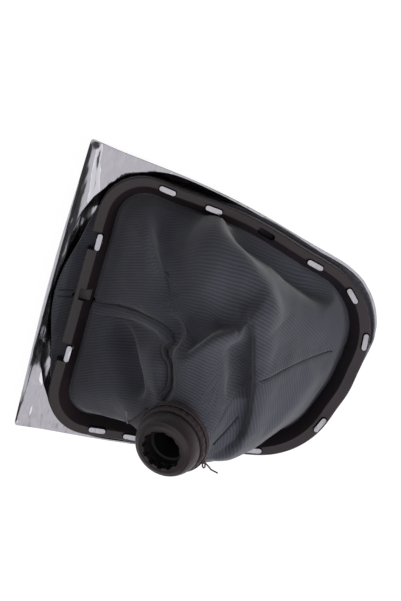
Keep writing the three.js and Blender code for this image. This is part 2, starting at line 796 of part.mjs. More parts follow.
function foldHeight(fold, around, rise) {
  let best = { apart: Infinity, side: 1, along: 0 };
  const count = fold.path.length - 1;
  for (let i = 0; i < count; i++) {
    const [from, to] = [fold.path[i], fold.path[i + 1]];
    const turns = Math.round((from[0] + to[0]) / 2 - around);
    const a = vec2(from[0] * AROUND_LENGTH, from[1] * RISE_LENGTH);
    const run = vec2(to[0] * AROUND_LENGTH, to[1] * RISE_LENGTH).sub(a);
    const offset = vec2((around + turns) * AROUND_LENGTH, rise * RISE_LENGTH).sub(a);
    const t = THREE.MathUtils.clamp(offset.dot(run) / run.lengthSq(), 0, 1);
    const apart = offset.clone().addScaledVector(run, -t).length();
    if (apart < best.apart) {
      best = { apart, side: run.cross(offset), along: (i + t) / count };
    }
  }
  const width = best.side > 0 ? fold.left : fold.right;
  const ends = Math.sqrt(Math.sin(Math.PI * THREE.MathUtils.clamp(best.along, 0.02, 0.98)));
  return fold.height * ends * Math.exp(-((best.apart / width) ** 2));
}

// The narrow side's seam leans toward the left corner on its way down to the ring
function leant(around, rise) {
  const apart = (around - SEAM_AROUND) / SEAM_DRIFT_WIDTH;
  return around - SEAM_DRIFT * Math.exp(-apart * apart) * (1 - rise) ** 3;
}

function clothPoint(around, rise) {
  const place = leant(around, rise);
  const point = wallPoint(place, rise);
  const step = 0.004;
  const across = wallPoint(place + step, rise).sub(wallPoint(place - step, rise));
  const up = wallPoint(place, Math.min(rise + step, 1)).sub(wallPoint(place, Math.max(rise - step, 0)));
  const normal = vec3().crossVectors(up, across).normalize();
  let height = 0;
  for (const fold of FOLDS) {
    height += foldHeight(fold, place, rise);
  }
  const hold = Math.min(1, rise / 0.12) * Math.min(1, (1 - rise) / 0.1);
  return point.addScaledVector(normal, height * hold);
}

// The hem under the ring, as rows of points from its cut edge in along the surround
const HEM_ROWS = 3;
const HEM_STEP = 0.5;

const HEMS = RAYS.map((ray, k) => {
  const reach = crossing(ray.edge, PLATE_OPENING[k], HEM);
  const cut = Math.max(reach < ray.length ? reach : 0, ray.lip ? ray.rim + 1 : 0);
  const bend = Math.max(cut + HEM_STEP, ray.well);
  const flat = Math.max(bend + HEM_STEP, ray.floor);
  return [cut, bend, flat].map((distance) => {
    const level = surroundTop(ray, distance) + CLEARANCE + CLOTH;
    return onRay(ray, distance, level);
  });
});

function hemPoint(around, row) {
  const place = leant(around, 0) * STATIONS;
  const i = Math.floor(place);
  return HEMS[i % STATIONS][row].clone().lerp(HEMS[(i + 1) % STATIONS][row], place - i);
}

function clothNormal(around, rise) {
  const step = 0.008;
  const across = clothPoint(around + step, rise).sub(clothPoint(around - step, rise));
  const up = clothPoint(around, Math.min(rise + step, 1)).sub(clothPoint(around, Math.max(rise - step, 0)));
  return vec3().crossVectors(up, across).normalize();
}

// Half the gap between the panels at a seam, as a part of the way round
function seamGap(rise) {
  const length = THREE.MathUtils.lerp(AROUND_LENGTH, 2 * Math.PI * NECK_RADIUS, rise);
  return CLEARANCE / 2 / length;
}

// A panel between two places round the gaiter: a closed shell with its edges at the seams
function panelGeometry(from, to) {
  const stations = [from];
  for (let k = Math.ceil(from * STATIONS + 0.25); k < to * STATIONS - 0.25; k++) {
    stations.push(k / STATIONS);
  }
  stations.push(to);
  const across = (rise) =>
    stations.map((around) => {
      const gap = seamGap(rise);
      return THREE.MathUtils.clamp(around, from + gap, to - gap);
    });
  const outer = [];
  const inner = [];
  const down = vec3(0, 0, -CLOTH);
  for (let row = 0; row < HEM_ROWS; row++) {
    const points = across(0).map((around) => hemPoint(around, row));
    outer.push(points);
    inner.push(points.map((point) => point.clone().add(down)));
  }
  for (let k = 0; k <= RISE_STEPS; k++) {
    const rise = k / RISE_STEPS;
    const points = across(rise).map((around) => clothPoint(around, rise));
    outer.push(points);
    inner.push(
      across(rise).map((around, j) => points[j].clone().addScaledVector(clothNormal(around, rise), -CLOTH)),
    );
  }
  const rows = outer.length;
  const columns = stations.length;
  const points = [...outer.flat(), ...inner.flat()];
  const half = rows * columns;
  const faces = [];
  const quad = (a, b, c, d) => faces.push([a, b, c], [a, c, d]);
  for (let i = 0; i < rows - 1; i++) {
    for (let j = 0; j < columns - 1; j++) {
      const a = i * columns + j;
      quad(a, a + 1, a + 1 + columns, a + columns);
      quad(half + a, half + a + columns, half + a + columns + 1, half + a + 1);
    }
  }
  for (let j = 0; j < columns - 1; j++) {
    const top = (rows - 1) * columns + j;
    quad(j, half + j, half + j + 1, j + 1);
    quad(top, top + 1, half + top + 1, half + top);
  }
  for (let i = 0; i < rows - 1; i++) {
    const left = i * columns;
    const right = left + columns - 1;
    quad(left, left + columns, half + left + columns, half + left);
    quad(right, half + right, half + right + columns, right + columns);
  }
  let solid = solidFrom(closedGeometry(points, faces))
    .subtract(SURROUND.translate([0, 0, CLEARANCE / 2]))
    .subtract(RING.translate([0, 0, -CLEARANCE / 2]));
  const length = TAB_LENGTH + 2 * TAB_CLEARANCE;
  const width = TAB_THICKNESS + 2 * TAB_CLEARANCE;
  for (const tab of TABS) {
    solid = solid.subtract(uprightSlot(tab, length, width, -1, RING_BOTTOM));
  }
  return geometryFrom(solid);
}

// Finishes
function finish(color, roughness, metalness) {
  return new THREE.MeshStandardMaterial({ color, roughness, metalness });
}

const PLATED = finish(0xc8c6ca, 0.12, 1);
const RING_PLASTIC = finish(0x2b2629, 0.55, 0);
const BACKING = finish(0x3a3f47, 0.9, 0);
const LEATHERETTE = finish(0x2e292b, 0.6, 0);
const COLLAR_PLASTIC = finish(0x332e31, 0.45, 0);
const THREAD = finish(0x1d1b1d, 0.8, 0);

function mesh(name, geometry, material) {
  const piece = new THREE.Mesh(geometry, material);
  piece.name = name;
  return piece;
}

const gaiter = new THREE.Group();
gaiter.add(
  mesh('surround', geometryFrom(SURROUND), PLATED),
  mesh('retaining_ring', geometryFrom(RING), RING_PLASTIC),
  mesh('gaiter_left_panel', panelGeometry(0, SEAM_AROUND), BACKING),
  mesh('gaiter_right_panel', panelGeometry(SEAM_AROUND, 1), BACKING),
  mesh('collar', collarGeometry(), COLLAR_PLASTIC),
  mesh('neck_band', bandGeometry(), LEATHERETTE),
  mesh('tie_thread', threadGeometry(), THREAD),
);

// The origin is the middle of the part's base
const bounds = new THREE.Box3().setFromObject(gaiter);
const middle = bounds.getCenter(vec3());
for (const piece of gaiter.children) {
  piece.geometry.translate(-middle.x, -middle.y, -bounds.min.z);
}

export default gaiter;
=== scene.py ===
"""Gear lever gaiter in its plated surround, lying face down with the gaiter turned inside out."""

import enum
import logging
import math
from dataclasses import dataclass, field

import bmesh
import bpy
import numpy as np
from mathutils import Matrix, Vector, noise
from mathutils.bvhtree import BVHTree


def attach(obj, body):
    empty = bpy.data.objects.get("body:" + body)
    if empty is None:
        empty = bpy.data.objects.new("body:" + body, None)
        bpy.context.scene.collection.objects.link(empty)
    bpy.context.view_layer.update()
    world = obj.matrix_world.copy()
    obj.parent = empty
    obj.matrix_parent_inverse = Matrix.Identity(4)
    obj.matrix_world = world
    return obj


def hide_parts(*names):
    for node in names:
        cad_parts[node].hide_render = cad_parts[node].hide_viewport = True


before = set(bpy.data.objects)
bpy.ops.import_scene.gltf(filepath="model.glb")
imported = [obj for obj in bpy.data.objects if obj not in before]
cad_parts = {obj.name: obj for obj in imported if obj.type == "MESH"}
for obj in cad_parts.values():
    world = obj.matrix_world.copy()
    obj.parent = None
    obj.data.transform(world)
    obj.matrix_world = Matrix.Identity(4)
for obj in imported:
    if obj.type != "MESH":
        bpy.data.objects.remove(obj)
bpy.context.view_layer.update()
LOG = logging.getLogger("gaiter")
MM = 0.001


# Helpers for shapes and materials

def linear(code: str) -> tuple[float, float, float, float]:
    """Turn an sRGB hex colour into linear values.

    Args:
        code: six hex digits.

    Returns:
        Red, green, blue and an alpha of one.
    """
    values = [int(code[i:i + 2], 16) / 255 for i in (0, 2, 4)]
    red, green, blue = (v / 12.92 if v <= 0.04045 else ((v + 0.055) / 1.055) ** 2.4 for v in values)
    return red, green, blue, 1.0


def add(tree: bpy.types.NodeTree, kind: str, inputs: dict | None = None, **settings) -> bpy.types.Node:
    """Add a node with its settings, values and links.

    Args:
        tree: the tree that the node goes in.
        kind: the node's type.
        inputs: a value or an output socket for each input, by name or number.
        settings: the node's own properties.

    Returns:
        The new node.
    """
    node = tree.nodes.new(kind)
    for name, value in settings.items():
        setattr(node, name, value)
    for socket, value in (inputs or {}).items():
        if isinstance(value, bpy.types.NodeSocket):
            tree.links.new(value, node.inputs[socket])
        else:
            node.inputs[socket].default_value = value
    return node


def select_only(piece: bpy.types.Object) -> None:
    """Make one object the only selected and active one.

    Args:
        piece: the object.
    """
    bpy.ops.object.select_all(action="DESELECT")
    piece.select_set(True)
    bpy.context.view_layer.objects.active = piece


def copy_of(node: str, name: str) -> bpy.types.Object:
    """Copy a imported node's mesh, merge its loose triangles and join them into quads.

    Args:
        node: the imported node.
        name: the new object's name.

    Returns:
        The new object, selected and active.
    """
    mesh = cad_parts[node].data.copy()
    mesh.materials.clear()
    piece = bpy.data.objects.new(name, mesh)
    bpy.context.scene.collection.objects.link(piece)
    select_only(piece)
    bpy.ops.object.mode_set(mode="EDIT")
    bpy.ops.mesh.select_all(action="SELECT")
    bpy.ops.mesh.remove_doubles(threshold=1e-5)
    bpy.ops.mesh.normals_make_consistent(inside=False)
    bpy.ops.mesh.tris_convert_to_quads(
        face_threshold=math.radians(30), shape_threshold=math.radians(60))
    bpy.ops.object.mode_set(mode="OBJECT")
    return piece


def crease_sharp(angle: float) -> None:
    """Crease the sharp edges of the active mesh.

    Args:
        angle: the least angle of a sharp edge, in degrees.
    """
    bpy.ops.object.mode_set(mode="EDIT")
    bpy.ops.mesh.select_mode(type="EDGE")
    bpy.ops.mesh.select_all(action="DESELECT")
    bpy.ops.mesh.edges_select_sharp(sharpness=math.radians(angle))
    bpy.ops.transform.edge_crease(value=1)
    bpy.ops.object.mode_set(mode="OBJECT")


def finish_with(piece: bpy.types.Object, kind: str, **settings) -> None:
    """Add a modifier to a piece and apply it.

    Args:
        piece: the piece.
        kind: the modifier's type.
        settings: the modifier's own properties.
    """
    select_only(piece)
    modifier = piece.modifiers.new(kind.title(), kind)
    for name, value in settings.items():
        setattr(modifier, name, value)
    bpy.ops.object.modifier_apply(modifier=modifier.name)


def subdivide(piece: bpy.types.Object, levels: int) -> None:
    """Round a piece with an applied subdivision surface of so many levels."""
    finish_with(piece, "SUBSURF", levels=levels, render_levels=levels)


def smooth(piece: bpy.types.Object, angle: float) -> None:
    """Shade a piece smooth, but for edges sharper than an angle in degrees."""
    select_only(piece)
    bpy.ops.object.shade_smooth_by_angle(angle=math.radians(angle))


def turned(name: str, profile: list[tuple[float, float]], sides: int) -> bpy.types.Object:
    """Turn a closed profile about the Z axis, by extruding and scaling a circle.

    Args:
        name: the new object's name.
        profile: radius and height of each corner, in millimetres.
        sides: steps round the axis.

    Returns:
        The new object, with its faces outward.
    """
    bpy.ops.object.select_all(action="DESELECT")
    radius, height = profile[0]
    bpy.ops.mesh.primitive_circle_add(vertices=sides, radius=radius * MM, location=(0, 0, height * MM))
    piece = bpy.context.object
    piece.name = name
    bpy.ops.object.transform_apply(location=True, rotation=True, scale=True)
    bpy.ops.object.mode_set(mode="EDIT")
    bpy.ops.mesh.select_mode(type="EDGE")
    bpy.ops.mesh.select_all(action="SELECT")
    for (r0, z0), (r1, z1) in zip(profile, profile[1:]):
        bpy.ops.mesh.extrude_edges_move(TRANSFORM_OT_translate={"value": (0, 0, (z1 - z0) * MM)})
        bpy.ops.transform.resize(value=(r1 / r0, r1 / r0, 1), center_override=(0, 0, z1 * MM))
    bpy.ops.mesh.select_all(action="DESELECT")
    bpy.ops.mesh.select_non_manifold()
    bpy.ops.mesh.bridge_edge_loops()
    bpy.ops.mesh.select_all(action="SELECT")
    bpy.ops.mesh.normals_make_consistent(inside=False)
    bpy.ops.object.mode_set(mode="OBJECT")
    return piece


def place(piece: bpy.types.Object, matrix: Matrix) -> None:
    """Put a piece in its place and write the place into its mesh.

    Args:
        piece: the piece.
        matrix: its place and turn.
    """
    piece.matrix_world = matrix
    select_only(piece)
    bpy.ops.object.transform_apply(location=True, rotation=True, scale=True)


def hand_over(piece: bpy.types.Object, slot: str, *nodes: str) -> None:
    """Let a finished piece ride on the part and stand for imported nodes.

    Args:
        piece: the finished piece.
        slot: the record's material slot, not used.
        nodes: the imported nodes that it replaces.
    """
    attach(piece, "root")
    if nodes:
        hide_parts(*nodes)
    LOG.info("%s: %d faces", piece.name, len(piece.data.polygons))


# Finishes

@dataclass(frozen=True)
class Finish:
    """What every finish has: a name, a tone and how it takes the light."""

    name: str
    tone: str
    roughness: float
    metallic: float = 0.0
    specular: float = 0.5

    def material(self) -> bpy.types.Material:
        """Make the material.

        Returns:
            A new material with this finish's nodes.
        """
        material = bpy.data.materials.new(self.name)
        material.use_nodes = True
        tree = material.node_tree
        shader = tree.nodes["Principled BSDF"]
        shader.inputs["Base Color"].default_value = linear(self.tone)
        shader.inputs["Roughness"].default_value = self.roughness
        shader.inputs["Metallic"].default_value = self.metallic
        shader.inputs["Specular IOR Level"].default_value = self.specular
        self.detail(tree, shader)
        return material

    def detail(self, tree: bpy.types.NodeTree, shader: bpy.types.Node) -> None:
        """Add the finish's own nodes."""

    def mottled(self, tree: bpy.types.NodeTree, shader: bpy.types.Node, other: str, size: float) -> None:
        """Vary the colour in soft patches.

        Args:
            tree: the material's nodes.
            shader: its surface shader.
            other: the second colour.
            size: the patches' size in millimetres.
        """
        place = add(tree, "ShaderNodeTexCoord")
        patches = add(tree, "ShaderNodeTexNoise", {
            "Vector": place.outputs["Object"], "Scale": 1 / (size * MM), "Detail": 4.0})
        blend = add(tree, "ShaderNodeMix", {
            0: patches.outputs["Fac"], 6: linear(self.tone), 7: linear(other)}, data_type="RGBA")
        tree.links.new(blend.outputs[2], shader.inputs["Base Color"])


@dataclass(frozen=True)
class PlatedPlastic(Finish):
    """Bright chrome plated on moulded ABS.

    The plating is a clear mirror, so it takes the light and the dark of the room, and the slight
    waviness of the moulding under it breaks the reflections up.
    """

    wave: float = 7.0
    wave_depth: float = 1.1
    haze: float = 18.0

    def detail(self, tree: bpy.types.NodeTree, shader: bpy.types.Node) -> None:
        """Add the moulding's slow waves, and a haze where the unpolished back was handled.

        Args:
            tree: the material's nodes.
            shader: its surface shader.
        """
        place = add(tree, "ShaderNodeTexCoord")
        along = add(tree, "ShaderNodeMapping", {"Vector": place.outputs["Object"], "Scale": (1, 0.35, 1)})
        waves = add(tree, "ShaderNodeTexNoise", {
            "Vector": along.outputs[0], "Scale": 1 / (self.wave * MM), "Detail": 2.0})
        haze = add(tree, "ShaderNodeTexNoise", {
            "Vector": place.outputs["Object"], "Scale": 1 / (self.haze * MM), "Detail": 5.0})
        spread = add(tree, "ShaderNodeMapRange", {
            "Value": haze.outputs["Fac"], "To Min": self.roughness * 0.6, "To Max": self.roughness * 1.6})
        bump = add(tree, "ShaderNodeBump", {
            "Height": waves.outputs["Fac"], "Strength": 1.0, "Distance": self.wave_depth * MM})
        tree.links.new(spread.outputs["Result"], shader.inputs["Roughness"])
        tree.links.new(bump.outputs["Normal"], shader.inputs["Normal"])


@dataclass(frozen=True)
class MouldedPlastic(Finish):
    """Injection-moulded plastic or spun yarn, with a fine grain that breaks up its shine.

    The grain is drawn a few times coarser than the real one, which no picture of this size holds.
    """

    other: str = "2a2528"
    grain: float = 0.7
    patch: float = 9.0

    def detail(self, tree: bpy.types.NodeTree, shader: bpy.types.Node) -> None:
        """Add soft tone patches and the fine grain.

        Args:
            tree: the material's nodes.
            shader: its surface shader.
        """
        self.mottled(tree, shader, self.other, self.patch)
        place = add(tree, "ShaderNodeTexCoord")
        grain = add(tree, "ShaderNodeTexNoise", {
            "Vector": place.outputs["Object"], "Scale": 1 / (self.grain * MM), "Detail": 3.0})
        bump = add(tree, "ShaderNodeBump", {
            "Height": grain.outputs["Fac"], "Strength": 0.35, "Distance": 0.12 * MM})
        tree.links.new(bump.outputs["Normal"], shader.inputs["Normal"])


@dataclass(frozen=True)
class Leatherette(Finish):
    """Embossed PVC leatherette: small closed cells with a soft shine on each."""

    other: str = "241f21"
    cell: float = 1.4
    patch: float = 14.0

    def detail(self, tree: bpy.types.NodeTree, shader: bpy.types.Node) -> None:
        """Add the embossed cells and soft tone patches.

        Args:
            tree: the material's nodes.
            shader: its surface shader.
        """
        self.mottled(tree, shader, self.other, self.patch)
        place = add(tree, "ShaderNodeTexCoord")
        cells = add(tree, "ShaderNodeTexVoronoi", {
            "Vector": place.outputs["Object"], "Scale": 1 / (self.cell * MM)}, feature="DISTANCE_TO_EDGE")
        edge = add(tree, "ShaderNodeMapRange", {"Value": cells.outputs["Distance"], "From Max": 0.25})
        bump = add(tree, "ShaderNodeBump", {
            "Height": edge.outputs["Result"], "Strength": 0.5, "Distance": 0.15 * MM})
        tree.links.new(bump.outputs["Normal"], shader.inputs["Normal"])


@dataclass(frozen=True)
class WovenBacking(Finish):
    """Ribbed cotton backing of leatherette: pale ribs with painted shade in the furrows between them, quite
    matt.

    The ribs have the photograph's pitch. The threads across them are drawn coarser than the real
    ones, and the nap stands for loose fibres.
    """

    # Tone of the furrows between the ribs: painted shade
    painted_furrow_shade: str = "303138"
    worn: str = "4b4c55"
    pitch: float = 1.45
    cross: float = 0.9
    drift: float = 1.2
    nap: float = 0.9
    patch: float = 26.0

    def detail(self, tree: bpy.types.NodeTree, shader: bpy.types.Node) -> None:
        """Add the ribs, the threads that cross them, and the napped patches.

        Args:
            tree: the material's nodes.
            shader: its surface shader.
        """
        uv = add(tree, "ShaderNodeUVMap", uv_map="Cloth").outputs["UV"]
        drift = add(tree, "ShaderNodeTexNoise", {"Vector": uv, "Scale": 1 / (12 * MM), "Detail": 2.0})
        shift = add(tree, "ShaderNodeVectorMath", {
            0: drift.outputs["Color"], 1: (0.5, 0.5, 0.5)}, operation="SUBTRACT")
        bent = add(tree, "ShaderNodeVectorMath", {
            0: shift.outputs[0], 1: (self.drift * MM, self.drift * MM, 0), 2: uv}, operation="MULTIPLY_ADD")
        axes = add(tree, "ShaderNodeSeparateXYZ", {0: bent.outputs[0]})
        rows = []
        for axis, pitch in (("Y", self.pitch), ("X", self.cross)):
            turns = add(tree, "ShaderNodeMath", {
                0: axes.outputs[axis], 1: 2 * math.pi / (pitch * MM)}, operation="MULTIPLY")
            rows.append(add(tree, "ShaderNodeMath", {0: turns.outputs[0]}, operation="SINE").outputs[0])
        ribs, yarn = rows
        both = add(tree, "ShaderNodeMath", {0: yarn, 1: 0.35, 2: ribs}, operation="MULTIPLY_ADD")
        nap = add(tree, "ShaderNodeTexNoise", {
            "Vector": uv, "Scale": 1 / (self.nap * MM), "Detail": 3.0, "Roughness": 0.7})
        rough = add(tree, "ShaderNodeMath", {
            0: nap.outputs["Fac"], 1: 1.6, 2: both.outputs[0]}, operation="MULTIPLY_ADD")
        level = add(tree, "ShaderNodeMapRange", {
            "Value": rough.outputs[0], "From Min": -0.7, "From Max": 2.1})
        patches = add(tree, "ShaderNodeTexNoise", {
            "Vector": uv, "Scale": 1 / (self.patch * MM), "Detail": 5.0})
        patch = add(tree, "ShaderNodeMapRange", {
            "Value": patches.outputs["Fac"], "From Min": 0.42, "From Max": 0.72})
        # Colour runs from the furrow tone up to the rib tone with the ribs' height and the nap: partly
        # painted shade in the furrows
        weave = add(tree, "ShaderNodeMix", {
            0: level.outputs["Result"], 6: linear(self.painted_furrow_shade), 7: linear(self.tone)}, data_type="RGBA")
        amount = add(tree, "ShaderNodeMath", {0: patch.outputs["Result"], 1: 0.3}, operation="MULTIPLY")
        colour = add(tree, "ShaderNodeMix", {
            0: amount.outputs[0], 6: weave.outputs[2], 7: linear(self.worn)}, data_type="RGBA")
        bump = add(tree, "ShaderNodeBump", {
            "Height": level.outputs["Result"], "Strength": 0.35, "Distance": 0.2 * MM})
        tree.links.new(colour.outputs[2], shader.inputs["Base Color"])
        tree.links.new(bump.outputs["Normal"], shader.inputs["Normal"])
        shader.inputs["Sheen Weight"].default_value = 0.25
        shader.inputs["Sheen Roughness"].default_value = 0.5


class Finishes(enum.Enum):
    """The finishes of this part's pieces."""

    # Cool bright mirror, a little hazy on the unpolished back
    PLATING = PlatedPlastic("chrome_on_moulded_abs", "a9a8ad", 0.13, metallic=1.0)
    # Brownish black, from a mould with a fine eroded texture, so its light is broad and soft
    RING = MouldedPlastic("moulded_polypropylene", "2b2326", 0.46, other="221b1e")
    # Warm black, smoother at the nose, where it shows a soft highlight
    COLLAR = MouldedPlastic("moulded_black_nylon", "2a2124", 0.5, other="1f181b", grain=0.5)
    # The same nylon off the rough core of the mould, which hardly shines, in a darker tone that is painted
    # shade in the bore
    BORE = MouldedPlastic("black_nylon_bore_painted_shade", "130f11", 0.7, other="0d0a0c", grain=0.5)
    # Bluish grey cotton ribs that scatter the light, with a faint bloom at their edges
    BACKING = WovenBacking("ribbed_cotton_backing", "46474f", 0.92, specular=0.2)
    # The show side of the gaiter: black with a dull plastic shine
    SKIN = Leatherette("embossed_pvc_leatherette", "2a2023", 0.62)
    # The same leatherette stretched in a roll, so its cells are smaller and its shine is clearer
    BINDING = Leatherette("rolled_leatherette_hem", "302629", 0.55, other="231b1e", cell=0.9)
    # Polyester thread of the tie, in a lighter tone than the seam thread: a painted highlight on its turns
    TIE = MouldedPlastic("polyester_thread_painted_highlight", "43383c", 0.5, other="2c2427", grain=0.3)
    # Pale thread; the same pale tone paints a highlight on the leatherette beside the flap
    PALE = MouldedPlastic("pale_thread_and_painted_highlight", "777b88", 0.8, other="5c606c", grain=0.4)
    # Black sewing thread, sunk in the seams; the same black strips also paint the shadow lines beside the
    # raised seams
    YARN = MouldedPlastic("black_thread_and_painted_shade", "1c1a1d", 0.6, other="2b282c", grain=0.3)


# Cloth

@dataclass(frozen=True)
class Fold:
    """A fold along a line seen from above, with its own width on each side, in millimetres.

    The cloth is lifted by the height along its normal, lifted by the step on the line's right
    and lowered by it on the left, with a change as sharp as the edge says. All of it falls off
    over one width on each side, and toward the line's ends over the share called fade. Before
    that, small faces near the line are merged, and it is smoothed as often as relax says.
    """

    path: tuple[tuple[float, float], ...]
    height: float
    left: float
    right: float
    step: float = 0.0
    fade: float = 0.3
    edge: float = 0.8
    relax: int = 0

    def apart(self, points: np.ndarray) -> tuple[np.ndarray, ...]:
        """Measure where places lie beside the fold's line.

        Args:
            points: places in millimetres, one row each.

        Returns:
            The distance from the line, the side (1 on its left) and the share of its length.
        """
        count = len(points)
        best = np.full(count, np.inf)
        side = np.ones(count)
        along = np.zeros(count)
        line = np.array(self.path, float)
        runs = np.diff(line, axis=0)
        lengths = np.linalg.norm(runs, axis=1)
        starts = np.concatenate([[0], np.cumsum(lengths)])
        for start, run, length, begin in zip(line, runs, lengths, starts):
            offset = points[:, :2] - start
            t = np.clip(offset @ run / length ** 2, 0, 1)
            reach = np.linalg.norm(offset - t[:, None] * run, axis=1)
            near = reach < best
            best[near] = reach[near]
            turn = run[0] * offset[:, 1] - run[1] * offset[:, 0]
            side[near] = np.where(turn[near] > 0, 1, -1)
            along[near] = ((begin + t * length) / starts[-1])[near]
        return best, side, along

    def moves(self, points: np.ndarray, normals: np.ndarray) -> np.ndarray:
        """Find how the fold moves the cloth at each point.

        Args:
            points: places in millimetres, one row each.
            normals: the cloth's normal at each place.

        Returns:
            The move of each place, in millimetres.
        """
        reach, side, along = self.apart(points)
        width = np.where(side > 0, self.left, self.right)
        ends = np.clip(np.minimum(along, 1 - along) / self.fade, 0, 1)
        share = ends * (2 - ends) * np.exp(-((reach / width) ** 2))
        lift = self.height - self.step * np.tanh(side * reach / self.edge)
        return (share * lift)[:, None] * normals


@dataclass
class Cloth:
    """The gaiter: two panels of leatherette, woven backing outside, sewn together at two seams.

    Sizes are in millimetres, but for the cut's flat size and area, in metres; these two are not used. Faces
    of a packed panel are on one side while they meet at less than same_side degrees. A side smaller than
    rim_area that looks up by less than rim_rise is a rim. Outward is away from a line inside
    that leans toward the neck, given by its y and z.
    """

    nodes: tuple[str, ...] = ("gaiter_left_panel", "gaiter_right_panel")
    grain_at: tuple[tuple[float, float], ...] = ((-45, 25), (-45, -30))
    grain_along: tuple[float, float, float] = (0.96, 0.277, 0)
    flat: tuple[float, float] = (0.227, 0.231)
    area: float = 0.028
    thickness: float = 1.2
    same_side: float = 60.0
    rim_area: float = 60.0
    rim_rise: float = 0.35
    neck_at: tuple[float, float] = (-40.0, 60.0)
    inside_drop: float = 20.0
    seam_gap: float = 0.9
    fold_gap: float = 1.6
    above_hem: float = 14.0
    small_face: float = 2.6
    merge_reach: float = 7.0
    relax_reach: float = 8.0
    levels: int = 2
    fine_reach: tuple[float, ...] = (5.0, 2.2)
    fine_above: float = 12.0
    softening: int = 50
    wrinkles: tuple[tuple[float, float], ...] = ((0.4, 9.0), (0.14, 3.5))
    held_below: float = 6.0
    free_above: float = 13.0

    def build(self) -> bpy.types.Object:
        """Sew the panels together, press in the folds and give the cloth its thickness.

        Returns:
            The finished gaiter.
        """
        halves = [self.outside_of(node, at) for node, at in zip(self.nodes, self.grain_at)]
        piece = halves[0]
        select_only(piece)
        halves[1].select_set(True)
        bpy.ops.object.join()
        piece.name = "gaiter_cloth"
        self.sew(piece)
        self.soften(piece)
        subdivide(piece, self.levels)
        for reach in self.fine_reach:
            self.refine(piece, reach)
        self.sculpt(piece)
        piece.data.materials.append(Finishes.BACKING.value.material())
        piece.data.materials.append(Finishes.SKIN.value.material())
        finish_with(piece, "SOLIDIFY", thickness=self.thickness * MM, offset=-1, material_offset=1)
        smooth(piece, 75)
        hand_over(piece, "backing", *self.nodes)
        return piece

    def outside_of(self, node: str, grain_at: tuple[float, float]) -> bpy.types.Object:
        """Keep only the outside of a packed panel.

        Args:
            node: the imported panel.
            grain_at: a place seen from above, in millimetres, where the ribs' run is known.

        Returns:
            The open sheet, flattened into its own texture layer.
        """
        piece = copy_of(node, node + "_cloth")
        mesh = bmesh.new()
        mesh.from_mesh(piece.data)
        tree = BVHTree.FromBMesh(mesh)
        unseen = {face for face in mesh.faces if self.is_thin(face, tree)}
        others = [face for face in mesh.faces if face not in unseen]
        corner = math.radians(self.same_side)
        while unseen:
            side = []
            waiting = [unseen.pop()]
            while waiting:
                face = waiting.pop()
                side.append(face)
                flat = [edge for edge in face.edges if edge.calc_face_angle(math.pi) < corner]
                near = {other for edge in flat for other in edge.link_faces} & unseen
                unseen -= near
                waiting.extend(near)
            area = sum(face.calc_area() for face in side)
            upward = sum(face.normal.z * face.calc_area() for face in side) / area
            is_rim = area < self.rim_area * MM * MM and upward < self.rim_rise
            if is_rim or sum(self.outwardness(face) for face in side) < 0:
                others += side
        bmesh.ops.delete(mesh, geom=others, context="FACES")
        mesh.to_mesh(piece.data)
        mesh.free()
        self.unwrap(piece, grain_at)
        return piece

    def is_thin(self, face: bmesh.types.BMFace, tree: BVHTree) -> bool:
        """Tell a broad face, with the cloth's other side close behind it, from a cut edge.

        Args:
            face: the face.
            tree: the panel's faces, for looking behind it.

        Returns:
            Whether another face lies within twice the thickness.
        """
        start = face.calc_center_median() - face.normal * 0.05 * MM
        hit = tree.ray_cast(start, -face.normal, 2 * self.thickness * MM)
        return hit[0] is not None

    def outwardness(self, face: bmesh.types.BMFace) -> float:
        """Tell how far a face looks away from the gaiter's inside, weighed by its area.

        Args:
            face: the face.

        Returns:
            More than nothing if it looks outward.
        """
        neck_y, neck_z = self.neck_at
        centre = face.calc_center_median()
        rise = min(max(centre.z / (neck_z * MM), 0), 1)
        inside = Vector((0, neck_y * MM * rise, centre.z - self.inside_drop * MM))
        return face.normal.dot(centre - inside) * face.calc_area()

    def unwrap(self, piece: bpy.types.Object, grain_at: tuple[float, float]) -> None:
        """Flatten a panel as it was cut, in metres, with the ribs along U.

        Args:
            piece: the panel's open sheet.
            grain_at: where the ribs' run is known.
        """
        select_only(piece)
        mesh = piece.data
        while mesh.uv_layers:
            mesh.uv_layers.remove(mesh.uv_layers[0])
        mesh.uv_layers.new(name="Cloth")
        bpy.ops.object.mode_set(mode="EDIT")
        bpy.ops.mesh.select_all(action="SELECT")
        bpy.ops.uv.unwrap(method="ANGLE_BASED", margin=0.0)
        bpy.ops.object.mode_set(mode="OBJECT")
        layer = mesh.uv_layers["Cloth"].data
        flat = np.array([loop.uv[:] for loop in layer])
        solid = shown = 0.0
        for face in mesh.polygons:
            x, y = flat[list(face.loop_indices)].T
            shown += abs(np.dot(x, np.roll(y, -1)) - np.dot(y, np.roll(x, -1))) / 2
            solid += face.area
        face = min(mesh.polygons, key=lambda f: math.dist((f.center.x / MM, f.center.y / MM), grain_at))
        loops = list(face.loop_indices)[:3]
        p = np.array([mesh.vertices[mesh.loops[i].vertex_index].co[:] for i in loops])
        u = flat[loops]
        slope = np.linalg.lstsq(u[1:] - u[0], p[1:] - p[0], rcond=None)[0]
        along = np.linalg.lstsq(slope.T, np.array(self.grain_along), rcond=None)[0]
        turn = -math.atan2(along[1], along[0])
        spin = np.array([[math.cos(turn), -math.sin(turn)], [math.sin(turn), math.cos(turn)]])
        for loop, spot in zip(layer, flat @ spin.T * math.sqrt(solid / shown)):
            loop.uv = spot

